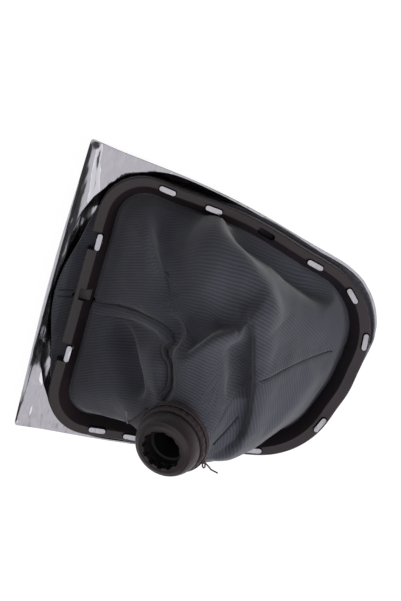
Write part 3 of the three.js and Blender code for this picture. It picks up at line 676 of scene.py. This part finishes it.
    def sew(self, piece: bpy.types.Object) -> None:
        """Join the two sheets where their edges lie side by side, and close the folds' tips.

        Args:
            piece: both sheets, in one mesh.
        """
        mesh = bmesh.new()
        mesh.from_mesh(piece.data)
        for gap, low in ((self.seam_gap, 0), (self.fold_gap, self.above_hem)):
            rim = [vert for vert in mesh.verts if vert.is_boundary and vert.co.z > low * MM]
            bmesh.ops.remove_doubles(mesh, verts=rim, dist=gap * MM)
        self.patch(mesh)
        for fold in FOLDS:
            if fold.relax:
                places = np.array([vert.co[:] for vert in mesh.verts]) / MM
                near = (fold.apart(places)[0] < self.merge_reach) & (places[:, 2] > self.above_hem)
                small = [vert for vert, hit in zip(mesh.verts, near) if hit]
                bmesh.ops.remove_doubles(mesh, verts=small, dist=self.small_face * MM)
        bmesh.ops.dissolve_degenerate(mesh, dist=0.05 * MM, edges=mesh.edges[:])
        bmesh.ops.delete(mesh, geom=[edge for edge in mesh.edges if edge.is_wire], context="EDGES")
        mesh.to_mesh(piece.data)
        mesh.free()

    def patch(self, mesh: bmesh.types.BMesh) -> None:
        """Close the holes above the hem, and carry the texture layer on over them.

        Args:
            mesh: the sewn sheets.
        """
        low = self.above_hem * MM
        rim = [edge for edge in mesh.edges if edge.is_boundary and min(v.co.z for v in edge.verts) > low]
        faces = bmesh.ops.holes_fill(mesh, edges=rim, sides=40)["faces"]
        new = set(bmesh.ops.triangulate(mesh, faces=faces)["faces"])
        layer = mesh.loops.layers.uv.active
        for face in new:
            start = None
            for loop in face.loops:
                spots = [other[layer].uv.copy() for other in loop.vert.link_loops if other.face not in new]
                if spots:
                    start = start or spots[0]
                    loop[layer].uv = min(spots, key=lambda spot: (spot - start).length)

    def soften(self, piece: bpy.types.Object) -> None:
        """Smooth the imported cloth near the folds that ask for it.

        Args:
            piece: the cloth.
        """
        for fold in FOLDS:
            if fold.relax:
                places = np.array([vertex.co[:] for vertex in piece.data.vertices]) / MM
                self.relax(piece, fold.apart(places)[0] < self.relax_reach, fold.relax)

    def refine(self, piece: bpy.types.Object, reach: float) -> None:
        """Cut the faces near sharp folds into smaller ones.

        Args:
            piece: the cloth.
            reach: how near a fold's line they lie, in millimetres.
        """
        mesh = piece.data
        centres = np.array([face.center[:] for face in mesh.polygons]) / MM
        near = np.zeros(len(centres), bool)
        for fold in FOLDS:
            if fold.step or min(fold.left, fold.right) < 2:
                near |= fold.apart(centres)[0] < reach
        near &= centres[:, 2] > self.fine_above
        select_only(piece)
        bpy.ops.object.mode_set(mode="EDIT")
        bpy.ops.mesh.select_mode(type="FACE")
        bpy.ops.mesh.select_all(action="DESELECT")
        bpy.ops.object.mode_set(mode="OBJECT")
        mesh.polygons.foreach_set("select", near)
        bpy.ops.object.mode_set(mode="EDIT")
        bpy.ops.mesh.subdivide(number_cuts=1, smoothness=0)
        bpy.ops.object.mode_set(mode="OBJECT")

    def sculpt(self, piece: bpy.types.Object) -> None:
        """Press the folds and small wrinkles into the cloth, but not into its held hem.

        Args:
            piece: the cloth.
        """
        mesh = piece.data
        places = np.array([vertex.co[:] for vertex in mesh.vertices]) / MM
        normals = np.array([vertex.normal[:] for vertex in mesh.vertices])
        first, second = np.array([edge.vertices[:] for edge in mesh.edges]).T
        for _ in range(self.softening):
            total = normals.copy()
            np.add.at(total, first, normals[second])
            np.add.at(total, second, normals[first])
            normals = total / np.linalg.norm(total, axis=1, keepdims=True)
        moves = sum(fold.moves(places, normals) for fold in FOLDS)
        for i, spot in enumerate(places):
            wrinkle = sum(height * noise.noise(Vector(spot) / width) for height, width in self.wrinkles)
            moves[i] += normals[i] * wrinkle
        hold = np.clip((places[:, 2] - self.held_below) / (self.free_above - self.held_below), 0, 1)
        mesh.vertices.foreach_set("co", ((places + moves * hold[:, None]) * MM).ravel())
        mesh.update()
        self.relax(piece, np.ones(len(places), bool), 2)

    def relax(self, piece: bpy.types.Object, near: np.ndarray, times: int) -> None:
        """Smooth some of the cloth's corners.

        Args:
            piece: the cloth.
            near: whether each corner is smoothed.
            times: how often.
        """
        select_only(piece)
        bpy.ops.object.mode_set(mode="EDIT")
        bpy.ops.mesh.select_mode(type="VERT")
        bpy.ops.mesh.select_all(action="DESELECT")
        bpy.ops.object.mode_set(mode="OBJECT")
        piece.data.vertices.foreach_set("select", near)
        bpy.ops.object.mode_set(mode="EDIT")
        bpy.ops.mesh.vertices_smooth(repeat=times)
        bpy.ops.object.mode_set(mode="OBJECT")


@dataclass
class Strip:
    """A narrow strip laid along a line on the gaiter, in millimetres, seen from above."""

    name: str
    path: tuple[tuple[float, float], ...]
    width: float
    thickness: float
    finish: Finishes
    slot: str = "backing"
    lift: float = 0.1
    round: float = 0.4
    shift: float = 0.0

    def build(self, ground: BVHTree) -> bpy.types.Object:
        """Lay the strip on the cloth.

        Args:
            ground: the cloth under it.

        Returns:
            The finished strip.
        """
        line = [Vector(place) for place in self.path]
        length = sum((b - a).length for a, b in zip(line, line[1:]))
        steps = max(8, round(length / 0.9))
        bpy.ops.object.select_all(action="DESELECT")
        bpy.ops.mesh.primitive_grid_add(x_subdivisions=steps, y_subdivisions=6, size=1)
        piece = bpy.context.object
        piece.name = self.name
        mesh = piece.data
        mesh.uv_layers[0].name = "Cloth"
        for loop in mesh.uv_layers[0].data:
            loop.uv = (loop.uv[0] * length * MM, loop.uv[1] * self.width * MM)
        for vertex in mesh.vertices:
            along, across = vertex.co.x + 0.5, vertex.co.y
            spot, way = self.on_path(line, along)
            spot = spot + Vector((-way.y, way.x)) * (across * self.width + self.shift)
            hit, normal, _, _ = ground.ray_cast(Vector((*(spot * MM), 0.1)), Vector((0, 0, -1)))
            if hit is None:
                hit, normal, _, _ = ground.find_nearest(Vector((*(spot * MM), 0.02)))
            rise = self.lift + self.round * (1 - (2 * across) ** 2)
            vertex.co = hit + normal * rise * MM
        bpy.ops.object.mode_set(mode="EDIT")
        bpy.ops.mesh.select_all(action="SELECT")
        bpy.ops.mesh.vertices_smooth(repeat=2)
        bpy.ops.mesh.normals_make_consistent(inside=False)
        bpy.ops.object.mode_set(mode="OBJECT")
        if sum(face.normal.z for face in mesh.polygons) < 0:
            mesh.flip_normals()
        finish_with(piece, "SOLIDIFY", thickness=self.thickness * MM, offset=0)
        subdivide(piece, 1)
        smooth(piece, 60)
        mesh = piece.data
        mesh.materials.append(self.finish.value.material())
        hand_over(piece, self.slot)
        return piece

    def on_path(self, line: list[Vector], share: float) -> tuple[Vector, Vector]:
        """Find a place on the line and the line's run there.

        Args:
            line: the line's corners.
            share: how far along it, from 0 to 1.

        Returns:
            The place and the unit direction.
        """
        count = len(line) - 1
        i = min(int(share * count), count - 1)
        f = share * count - i
        a, b = line[i], line[i + 1]
        before = line[i - 1] if i else a * 2 - b
        after = line[i + 2] if i + 2 < len(line) else b * 2 - a
        p = b - before
        q = after - a
        bend = 2 * before - 5 * a + 4 * b - after + f * (3 * (a - b) + after - before)
        return a + 0.5 * f * (p + f * bend), p.lerp(q, f).normalized()


@dataclass
class Stitching(Strip):
    """A row of sewing thread, which shows as one thin dark line; some rows are painted shadow lines beside
    the seams.
    """

    thickness: float = 0.3
    finish: Finishes = Finishes.YARN
    slot: str = "thread"
    round: float = 0.1


# Moulded pieces

@dataclass
class Moulding:
    """The plated surround or the clip ring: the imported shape, rounded along its outline."""

    node: str
    name: str
    slot: str
    finish: Finishes
    edge: float = 0.3
    sharp: float = 24.0

    def build(self) -> bpy.types.Object:
        """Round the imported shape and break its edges.

        Returns:
            The finished moulding.
        """
        piece = copy_of(self.node, self.name)
        self.shape(piece)
        crease_sharp(self.sharp)
        subdivide(piece, 2)
        finish_with(piece, "BEVEL", width=self.edge * MM, segments=2, limit_method="ANGLE",
                    angle_limit=math.radians(28))
        smooth(piece, 32)
        piece.data.materials.append(self.finish.value.material())
        hand_over(piece, self.slot, self.node)
        return piece

    def shape(self, piece: bpy.types.Object) -> None:
        """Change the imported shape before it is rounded."""


@dataclass
class Plate(Moulding):
    """The plated surround, with the shallow channel that runs behind its lip.

    The channel's depth and its X places are in millimetres. It fades out at both ends, and gets
    narrower toward the corner.
    """

    channel: float = 2.4
    start: float = -81.3
    end: float = -67.0
    corner_end: float = -74.5
    least: float = 0.4
    cuts_across: int = 12
    cuts_along: int = 16
    first_cut: float = -52.0
    cut_step: float = 8.0
    narrows_from: float = 34.0
    fade_low: tuple[float, float] = (-50.0, 12.0)
    fade_high: tuple[float, float] = (75.5, 4.0)

    def shape(self, piece: bpy.types.Object) -> None:
        """Press the channel into the back, along the wide side.

        Args:
            piece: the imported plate.
        """
        bpy.ops.object.mode_set(mode="EDIT")
        for i in range(self.cuts_across):
            x = self.start + (self.end - self.start) * i / self.cuts_across
            bpy.ops.mesh.select_all(action="SELECT")
            bpy.ops.mesh.bisect(plane_co=(x * MM, 0, 0), plane_no=(1, 0, 0))
        for i in range(self.cuts_along):
            y = self.first_cut + self.cut_step * i
            bpy.ops.mesh.select_all(action="SELECT")
            bpy.ops.mesh.bisect(plane_co=(0, y * MM, 0), plane_no=(0, 1, 0))
        bpy.ops.object.mode_set(mode="OBJECT")
        low_at, low_over = self.fade_low
        high_at, high_over = self.fade_high
        for vertex in piece.data.vertices:
            x, y, z = vertex.co / MM
            narrow = min(max((y - self.narrows_from) / self.narrows_from, 0), 1)
            end = self.end + (self.corner_end - self.end) * narrow
            share = (x - self.start) / (end - self.start)
            if z > 1 and 0 < share < 1:
                low = min(max((y - low_at) / low_over, 0), 1)
                high = min(max((high_at - y) / high_over, 0), 1)
                depth = self.channel * low * low * (3 - 2 * low) * high * (1 - 0.45 * narrow)
                vertex.co.z = max(z - depth * (1 - abs(2 * share - 1) ** 1.6), self.least) * MM


@dataclass
class Neck:
    """What is built about the collar's own axis, in millimetres along and round it."""

    place: tuple[float, float, float] = (-6.58, -43.66, 66.0)
    lean: float = 26.0
    heading: float = 217.0
    bore: float = 9.3
    step: float = 1.2
    rim: float = 16.0
    nose: float = 8.6
    barrel: float = 13.4
    length: float = 12.0
    mouth: float = 8.7
    splines: int = 12
    spline: tuple[float, float, float] = (1.2, 2.4, 10.0)
    band_front: float = -1.9
    band_length: float = 7.4
    band_thickness: float = 3.7
    pleats: int = 34

    def matrix(self) -> Matrix:
        """Return the collar's place and turn."""
        heading = Matrix.Rotation(math.radians(self.heading), 4, "Z")
        turn = heading @ Matrix.Rotation(math.radians(self.lean), 4, "Y")
        return Matrix.Translation(Vector(self.place) * MM) @ turn

    def collar(self) -> bpy.types.Object:
        """Model the collar: rounded nose, groove, barrel and splined bore.

        Returns:
            The finished collar.
        """
        bulge = self.rim - self.bore - self.step
        nose = []
        for i in range(15):
            turn = math.pi / 2 * i / 14
            drop = 0.35 if i > 8 else 0
            nose.append((self.rim - bulge * (1 - math.cos(turn)), self.nose * math.sin(turn) - drop))
        profile = [
            (self.bore - self.step, -self.length),
            (self.barrel, -self.length),
            (self.barrel, -1.6),
            (self.rim - self.step, -0.8),
            *nose,
            (self.bore + 0.5, self.nose - 0.4),
            (self.bore + 0.1, self.nose - 0.6),
            (self.bore, self.nose - 1.0),
            (self.bore, self.nose - self.mouth),
            (self.bore - 0.2, self.nose - self.mouth - 0.3),
            (self.bore - self.step, self.nose - self.mouth - 0.6),
        ]
        piece = turned("collar_body", profile, 144)
        bpy.ops.object.select_all(action="DESELECT")
        bpy.ops.mesh.primitive_cube_add(size=1, location=(self.bore * MM, 0, self.nose * MM))
        cutter = bpy.context.object
        cutter.scale = tuple(size * MM for size in self.spline)
        bpy.ops.object.transform_apply(location=True, rotation=True, scale=True)
        bpy.ops.object.mode_set(mode="EDIT")
        for _ in range(self.splines - 1):
            bpy.ops.mesh.duplicate()
            bpy.ops.transform.rotate(
                value=2 * math.pi / self.splines, orient_axis="Z", center_override=(0, 0, 0))
        bpy.ops.object.mode_set(mode="OBJECT")
        finish_with(piece, "BOOLEAN", operation="DIFFERENCE", object=cutter, solver="EXACT")
        bpy.data.objects.remove(cutter)
        smooth(piece, 30)
        for finish in (Finishes.COLLAR, Finishes.BORE):
            piece.data.materials.append(finish.value.material())
        # Faces deep in the bore take the darker nylon: painted shade
        for face in piece.data.polygons:
            x, y, z = face.center / MM
            if math.hypot(x, y) < self.bore + 0.75 and z < self.nose - 0.9:
                face.material_index = 1
        place(piece, self.matrix())
        hand_over(piece, "collar_plastic", "collar")
        return piece

    def band(self) -> bpy.types.Object:
        """Model the neck's rolled hem, gathered in small pleats under the thread.

        Returns:
            The finished band.
        """
        inside = self.barrel + 0.3
        middle = self.band_front - self.band_length / 2
        waist = self.band_front - self.band_length * 0.6
        profile = [(inside, self.band_front - self.band_length)]
        for i in range(25):
            turn = -math.pi / 2 + math.pi * i / 24
            height = middle + self.band_length / 2 * math.sin(turn)
            radius = inside + self.band_thickness * (0.35 + 0.65 * math.sqrt(max(math.cos(turn), 0)))
            radius -= 0.55 * math.exp(-((height - waist) / 2.0) ** 2)
            profile.append((radius, height))
        profile.append((inside, self.band_front))
        piece = turned("neck_hem", profile, 216)
        for vertex in piece.data.vertices:
            x, y, z = vertex.co / MM
            radius = math.hypot(x, y)
            angle = math.atan2(y, x)
            pleat = math.sin(self.pleats * angle + 3 * noise.noise(Vector((x, y, z)) / 6))
            share = max(radius - inside, 0) / self.band_thickness
            grow = 1 + share * (0.16 * pleat + 0.25 * noise.noise(Vector((x, y, z)) / 4)) / radius
            vertex.co = Vector((x * grow, y * grow, z)) * MM
        smooth(piece, 60)
        piece.data.materials.append(Finishes.BINDING.value.material())
        place(piece, self.matrix())
        hand_over(piece, "leatherette", "neck_band")
        return piece


@dataclass
class Thread:
    """The tie: a two-ply thread wound round the neck band, with knot, loop and tail."""

    neck: Neck
    radius: float = 0.24
    ply: float = 0.2
    twist: float = 1.9
    turns: float = 3.25
    pitch: float = 1.0
    knot_at: float = 120.0
    knot_radius: float = 0.95
    tail: float = 9.0
    loop: float = 2.2

    def runs(self) -> list[list[Vector]]:
        """Lay the thread's runs: the winding, the loop and the tail.

        Returns:
            The points of each run, about the collar's axis, in millimetres.
        """
        inside = self.neck.barrel + 0.3 + self.neck.band_thickness - 0.5
        radius = inside + 0.65
        middle = self.neck.band_front - self.neck.band_length * 0.6
        winding = []
        count = 700
        for i in range(count + 1):
            t = i / count
            angle = -2 * math.pi * self.turns * t
            height = middle + self.pitch * self.turns * (t - 0.5)
            winding.append(Vector((radius * math.cos(angle), radius * math.sin(angle), height)))
        end = winding[0]
        loop = []
        for i in range(41):
            angle = 2 * math.pi * i / 40
            out = 0.5 * self.loop * (1 - math.cos(angle))
            loop.append(end + Vector((0.4 + out, -0.8 * out, 0.4 + self.loop * 0.6 * math.sin(angle))))
        shape = [(0, 0, 0), (0.3, 0.02, 0), (0.62, -0.06, -0.04), (1.0, 0.0, -0.14)]
        tail = []
        for i in range(31):
            t = i / 30 * 3
            k = min(int(t), 2)
            f = t - k
            f = f * f * (3 - 2 * f)
            a, b = Vector(shape[k]), Vector(shape[k + 1])
            tail.append(end + a.lerp(b, f) * self.tail)
        return [winding, loop, tail]

    def build(self) -> bpy.types.Object:
        """Model the thread as two twisted strands.

        Returns:
            The finished thread.
        """
        curve = bpy.data.curves.new("tie", "CURVE")
        curve.dimensions = "3D"
        curve.bevel_depth = self.radius * MM
        curve.bevel_resolution = 1
        curve.use_fill_caps = True
        for run in self.runs():
            for phase in (0, math.pi):
                self.strand(curve, run, phase)
        piece = bpy.data.objects.new("tie", curve)
        bpy.context.scene.collection.objects.link(piece)
        turn = Matrix.Rotation(math.radians(self.knot_at), 4, "Z")
        select_only(piece)
        bpy.ops.object.convert(target="MESH")
        piece = bpy.context.object
        place(piece, self.neck.matrix() @ turn)
        knot = self.knot()
        place(knot, self.neck.matrix() @ turn)
        select_only(piece)
        knot.select_set(True)
        bpy.ops.object.join()
        smooth(piece, 60)
        piece.data.materials.clear()
        # The tie's lighter thread tone is a painted highlight
        piece.data.materials.append(Finishes.TIE.value.material())
        hand_over(piece, "thread", "tie_thread")
        return piece

    def strand(self, curve: bpy.types.Curve, run: list[Vector], phase: float) -> None:
        """Add one strand that twists round a run.

        Args:
            curve: the curve that takes the strand.
            run: the run's points.
            phase: where the strand starts round the run, in radians.
        """
        fine = [run[0]]
        for a, b in zip(run, run[1:]):
            steps = max(1, math.ceil((b - a).length / (self.twist / 6)))
            fine += [a.lerp(b, i / steps) for i in range(1, steps + 1)]
        spline = curve.splines.new("POLY")
        spline.points.add(len(fine) - 1)
        travelled = 0.0
        for i, point in enumerate(fine):
            ahead = fine[min(i + 1, len(fine) - 1)] - fine[max(i - 1, 0)]
            if i:
                travelled += (point - fine[i - 1]).length
            across = ahead.cross(Vector((0, 0, 1)))
            across = across.normalized() if across.length > 1e-9 else Vector((1, 0, 0))
            up = across.cross(ahead).normalized()
            angle = phase + 2 * math.pi * travelled / self.twist
            spot = point + (across * math.cos(angle) + up * math.sin(angle)) * self.ply
            spline.points[i].co = (*(spot * MM), 1)

    def knot(self) -> bpy.types.Object:
        """Model the knot as a small pulled lump.

        Returns:
            The knot, still about the collar's axis.
        """
        start = self.runs()[0][0]
        bpy.ops.object.select_all(action="DESELECT")
        bpy.ops.mesh.primitive_ico_sphere_add(
            subdivisions=3, radius=self.knot_radius * MM, location=(start + Vector((0.4, 0, 0))) * MM)
        knot = bpy.context.object
        bpy.ops.object.transform_apply(location=True, rotation=True, scale=True)
        for vertex in knot.data.vertices:
            spot = vertex.co / MM
            vertex.co += vertex.normal * 0.25 * MM * math.sin(4 * spot.z + 3 * spot.y)
        return knot


# Camera and studio

@dataclass
class Studio:
    """Camera, floor and soft light."""

    eye: tuple[float, float, float] = (-0.05107, 0.16478, 0.69006)
    right: tuple[float, float, float] = (0.96088, 0.27697, 0.0)
    up: tuple[float, float, float] = (-0.26987, 0.93625, -0.22495)
    lens: float = 83.86
    sky: float = 1.2
    horizon: float = 0.1
    floor_white: float = 0.85
    key: tuple[float, float, float] = (0.55, -0.17, 0.5)
    key_power: float = 5.7
    fill: tuple[float, float, float] = (-0.6, -0.25, 0.75)
    fill_power: float = 1.6

    def camera(self) -> None:
        """Set the camera where the photograph was taken."""
        camera = bpy.data.cameras.new("camera")
        camera.lens = self.lens
        camera.sensor_width = 36
        camera.clip_start = 0.05
        right, up = Vector(self.right), Vector(self.up)
        turn = Matrix((right, up, right.cross(up))).transposed().to_4x4()
        holder = bpy.data.objects.new("camera", camera)
        holder.matrix_world = Matrix.Translation(Vector(self.eye)) @ turn
        bpy.context.scene.collection.objects.link(holder)
        bpy.context.scene.camera = holder

    def floor(self) -> None:
        """Lay a pale matt floor that shows white and keeps the part's soft shadow."""
        bpy.ops.object.select_all(action="DESELECT")
        bpy.ops.mesh.primitive_plane_add(size=6, location=(0, 0, -0.0002))
        floor = bpy.context.object
        floor.name = "floor"
        material = bpy.data.materials.new("matt_white_paper")
        material.use_nodes = True
        tree = material.node_tree
        shader = tree.nodes["Principled BSDF"]
        shader.inputs["Base Color"].default_value = linear("f2f2f2")
        shader.inputs["Roughness"].default_value = 0.9
        rays = add(tree, "ShaderNodeLightPath")
        share = add(tree, "ShaderNodeMath", {
            0: rays.outputs["Is Camera Ray"], 1: self.floor_white}, operation="MULTIPLY")
        white = add(tree, "ShaderNodeEmission", {"Color": (1, 1, 1, 1), "Strength": 1.1})
        blend = add(tree, "ShaderNodeMixShader", {
            0: share.outputs[0], 1: shader.outputs[0], 2: white.outputs[0]})
        tree.links.new(blend.outputs[0], tree.nodes["Material Output"].inputs["Surface"])
        floor.data.materials.append(material)

    def lights(self) -> None:
        """Hang the soft lamps and set the sky.

        The sky is bright overhead and dark toward the horizon, for the plating to reflect. The
        camera sees it as plain white.
        """
        world = bpy.data.worlds.new("studio")
        bpy.context.scene.world = world
        world.use_nodes = True
        tree = world.node_tree
        tree.nodes.clear()
        rays = add(tree, "ShaderNodeLightPath")
        way = add(tree, "ShaderNodeTexCoord").outputs["Generated"]
        clouds = add(tree, "ShaderNodeTexNoise", {"Vector": way, "Scale": 5.0, "Detail": 2.0})
        height = add(tree, "ShaderNodeSeparateXYZ", {0: way})
        edge = add(tree, "ShaderNodeMath", {
            0: clouds.outputs["Fac"], 1: 0.22, 2: height.outputs["Z"]}, operation="MULTIPLY_ADD")
        rise = add(tree, "ShaderNodeMapRange", {
            "Value": edge.outputs[0], "From Min": 0.9, "From Max": 1.06,
            "To Min": self.horizon, "To Max": self.sky}, interpolation_type="SMOOTHSTEP")
        haze = add(tree, "ShaderNodeTexNoise", {"Vector": way, "Scale": 16.0, "Detail": 3.0})
        part = add(tree, "ShaderNodeMapRange", {
            "Value": haze.outputs["Fac"], "From Min": 0.38, "From Max": 0.6})
        tint = add(tree, "ShaderNodeMix", {
            0: part.outputs[0], 6: (0.72, 0.74, 0.82, 1), 7: (1.1, 1.05, 1.04, 1)}, data_type="RGBA")
        soft = add(tree, "ShaderNodeBackground", {
            "Color": tint.outputs[2], "Strength": rise.outputs["Result"]})
        white = add(tree, "ShaderNodeBackground", {"Color": (1, 1, 1, 1), "Strength": 1.0})
        seen = add(tree, "ShaderNodeMath", {
            0: rays.outputs["Is Camera Ray"], 1: rays.outputs["Is Transmission Ray"]}, operation="MAXIMUM")
        blend = add(tree, "ShaderNodeMixShader", {
            0: seen.outputs[0], 1: soft.outputs[0], 2: white.outputs[0]})
        add(tree, "ShaderNodeOutputWorld", {"Surface": blend.outputs[0]})
        key = self.lamp("key", self.key, 0.5, self.key_power)
        key.visible_glossy = False
        self.lamp("fill", self.fill, 0.6, self.fill_power)

    def lamp(self, name: str, spot: tuple[float, float, float], size: float,
             power: float) -> bpy.types.Object:
        """Hang one square soft lamp that looks at the part.

        Args:
            name: the lamp's name.
            spot: its place, in metres.
            size: the side of its square, in metres.
            power: its power in watts.

        Returns:
            The lamp.
        """
        light = bpy.data.lights.new(name, "AREA")
        light.size = size
        light.energy = power
        holder = bpy.data.objects.new(name, light)
        holder.location = spot
        way = Vector((0, 0, 0.03)) - Vector(spot)
        holder.rotation_euler = way.to_track_quat("-Z", "Y").to_euler()
        bpy.context.scene.collection.objects.link(holder)
        return holder


@dataclass
class Gaiter:
    """The whole part."""

    neck: Neck = field(default_factory=Neck)

    def build(self) -> None:
        """Build every piece in order."""
        Plate("surround", "plated_plate", "plated", Finishes.PLATING, 0.45).build()
        Moulding("retaining_ring", "clip_ring", "ring_plastic", Finishes.RING).build()
        self.neck.collar()
        self.neck.band()
        Thread(self.neck).build()
        cloth = Cloth().build()
        ground = BVHTree.FromObject(cloth, bpy.context.evaluated_depsgraph_get())
        for strip in STRIPS:
            strip.build(ground)


# Seams on the cloth, seen from above, in millimetres
FELL_TOP = ((-58.5, -3.4), (-52, -0.4), (-46, 2), (-38.9, 3.6), (-31.2, 4.2), (-23.4, 3.2), (-17.2, 0.6))
FELL_STITCH = ((-57.5, -6.8), (-51.9, -5.8), (-45.8, -4.5), (-37.8, -2.6), (-29.9, -0.5), (-24.5, -0.6))
FELL_MIDDLE = (
    (-58, -5.1), (-52, -3.1), (-46, -1.2), (-38.3, 0.5), (-30.5, 1.8), (-24, 1.2), (-18.4, -1.2),
)
KINK = ((-16.8, -0.5), (-19.6, -5.6), (-18.6, -9.3), (-15.4, -12.2), (-13.0, -21.8), (-15.3, -28.6))
SHEET_EDGE = (
    (16.5, -50.6), (22.3, -46.3), (26.4, -40), (27.7, -33.3), (27.4, -22),
    (24.7, -8.4), (21.6, 2.3), (18.4, 12.9), (15.6, 18.6), (11, 21.5),
)
SEAM_HIGH = ((63, 7.6), (60.6, 7.2), (53, 5.2), (45.9, 2.9), (40, 0.2), (34.3, -3.1), (27.2, -6.6))
SEAM_LOW = ((23.3, -27.3), (21.5, -31), (19, -36), (15, -42.9))

STRIPS = (
    Strip("felled_seam", FELL_MIDDLE, 5.2, 0.7, Finishes.BACKING, lift=0.25, round=0.35),
    # Painted shadow: a dark line under the felled seam's raised upper edge
    Stitching("felled_seam_upper_painted_shadow", FELL_TOP, 0.6),
    Stitching("felled_seam_lower_thread", FELL_STITCH, 0.5),
    Strip("rolled_seam", KINK, 2.0, 1.0, Finishes.BACKING, lift=0.3, round=0.8),
    # Painted shadow: dark lines along both sides of the rolled seam
    Stitching("rolled_seam_left_painted_shadow", KINK, 0.7, 0.4, shift=-1.4),
    Stitching("rolled_seam_right_painted_shadow", KINK, 0.6, 0.4, shift=1.4),
    # Stitching of the second seam, its dark line partly painted shade in the seam's groove
    Stitching("seam_thread_and_shade_high", SEAM_HIGH, 0.5),
    Stitching("seam_thread_and_shade_low", SEAM_LOW, 0.45),
    Stitching("hem_thread_upper", ((-77.3, -1.3), (-74, -0.7), (-70.7, 0), (-66.5, 0.9)), 0.6),
    Stitching("hem_thread_lower", ((-77, -4.6), (-74, -4.1), (-70.7, -3.7), (-66, -2.4)), 0.5),
    Strip("skin_flap", ((-17.0, -37.5), (-18.6, -41.5), (-20.8, -47), (-22.5, -54)), 7.5, 0.9,
          Finishes.SKIN, "leatherette"),
    # A pale strip beside the flap: a painted highlight on the leatherette
    Strip("pale_streak_painted_highlight", ((-28.6, -44.0), (-27.9, -46.5), (-27.1, -49.5)), 1.2, 0.3, Finishes.PALE, "thread"),
    Strip("pale_thread", ((-27.1, -49.5), (-26.2, -54), (-25.4, -59)), 0.4, 0.3, Finishes.PALE, "thread"),
)

FOLDS = (
    # Top of the neck, eased between the panels
    Fold(((13, 11), (11.5, 2), (9, -8), (7, -20)), -0.5, 6, 6, relax=4),
    # Packed crest over the valley, only smoothed
    Fold(((-42, 49), (-36, 38.7), (-29.7, 29.7), (-23.8, 21.5), (-18.6, 13.9), (-14.5, 4), (-13.5, -2)),
         0, 5, 5, relax=6),
    # Edge of the upper layer of cloth, right of the neck
    Fold(SHEET_EDGE, 0.0, 7, 10, step=2.4, fade=0.12),
    # Pocket between the neck and that edge
    Fold(((8, 10.5), (12.5, 5.5), (16.5, -2), (19.5, -9), (22, -18)), -5.5, 4, 7),
    # Brow above the neck, and the hollow over it
    Fold(((-15, -17), (-11, -5), (-7, 1.5), (-3, 6), (0.5, 9.5), (4, 11.8), (10, 13), (15.5, 12.6)),
         1.8, 3.2, 5),
    Fold(((-13.5, -4), (-10, 4), (-6, 9.5), (-2, 13.5), (3, 16.5), (9, 17.5), (13, 16)), -9.5, 14, 3.0),
    # Valley from the wide corner, and the ridges on its right
    Fold(((-35, 55), (-35.5, 44), (-34.5, 35), (-32, 26), (-28, 18), (-23, 12)), -8.5, 12, 4.5, fade=0.4),
    Fold(((-20, 54), (-14, 45), (-7, 36.5), (1, 28), (8, 23)), 1.5, 8, 6),
    Fold(((-20, 55), (-9, 50), (0, 45), (8, 40), (15, 34), (22, 27), (30, 20)), 5.5, 6, 12),
    # Under the felled seam, the valley beside the neck, and the neck's own ridge
    Fold(((-50, -9), (-38, -6), (-27, -3.5), (-20, -5)), -3.0, 3, 6),
    Fold(((-46, -8), (-40, -13), (-35, -19), (-30, -27), (-25.5, -36)), -9.0, 3.5, 6),
    Fold(((-24, -8), (-20.5, -18), (-16.5, -27)), 2.5, 5, 7),
    # Furrow that the rolled seam lies in
    Fold(KINK, -2.6, 2.4, 2.6, fade=0.15),
    # Crescent under the ring's far side
    Fold(((-8, 57), (8, 54), (24, 49.5), (40, 42), (56, 32)), -9.5, 8, 6),
    # Sunk stitches
    Fold(FELL_TOP, -0.9, 1.6, 0.8, fade=0.05),
    Fold(FELL_STITCH, -0.6, 0.8, 0.9, fade=0.05),
    Fold(SEAM_HIGH, -0.7, 0.9, 0.9, fade=0.05),
    Fold(SEAM_LOW, -0.7, 0.9, 0.9, fade=0.05),
)


def main() -> None:
    """Set the studio and build the part."""
    logging.basicConfig(level=logging.INFO)
    bpy.context.scene.view_settings.view_transform = "Standard"
    studio = Studio()
    studio.camera()
    studio.floor()
    studio.lights()
    Gaiter().build()


if __name__ == "__main__":
    main()
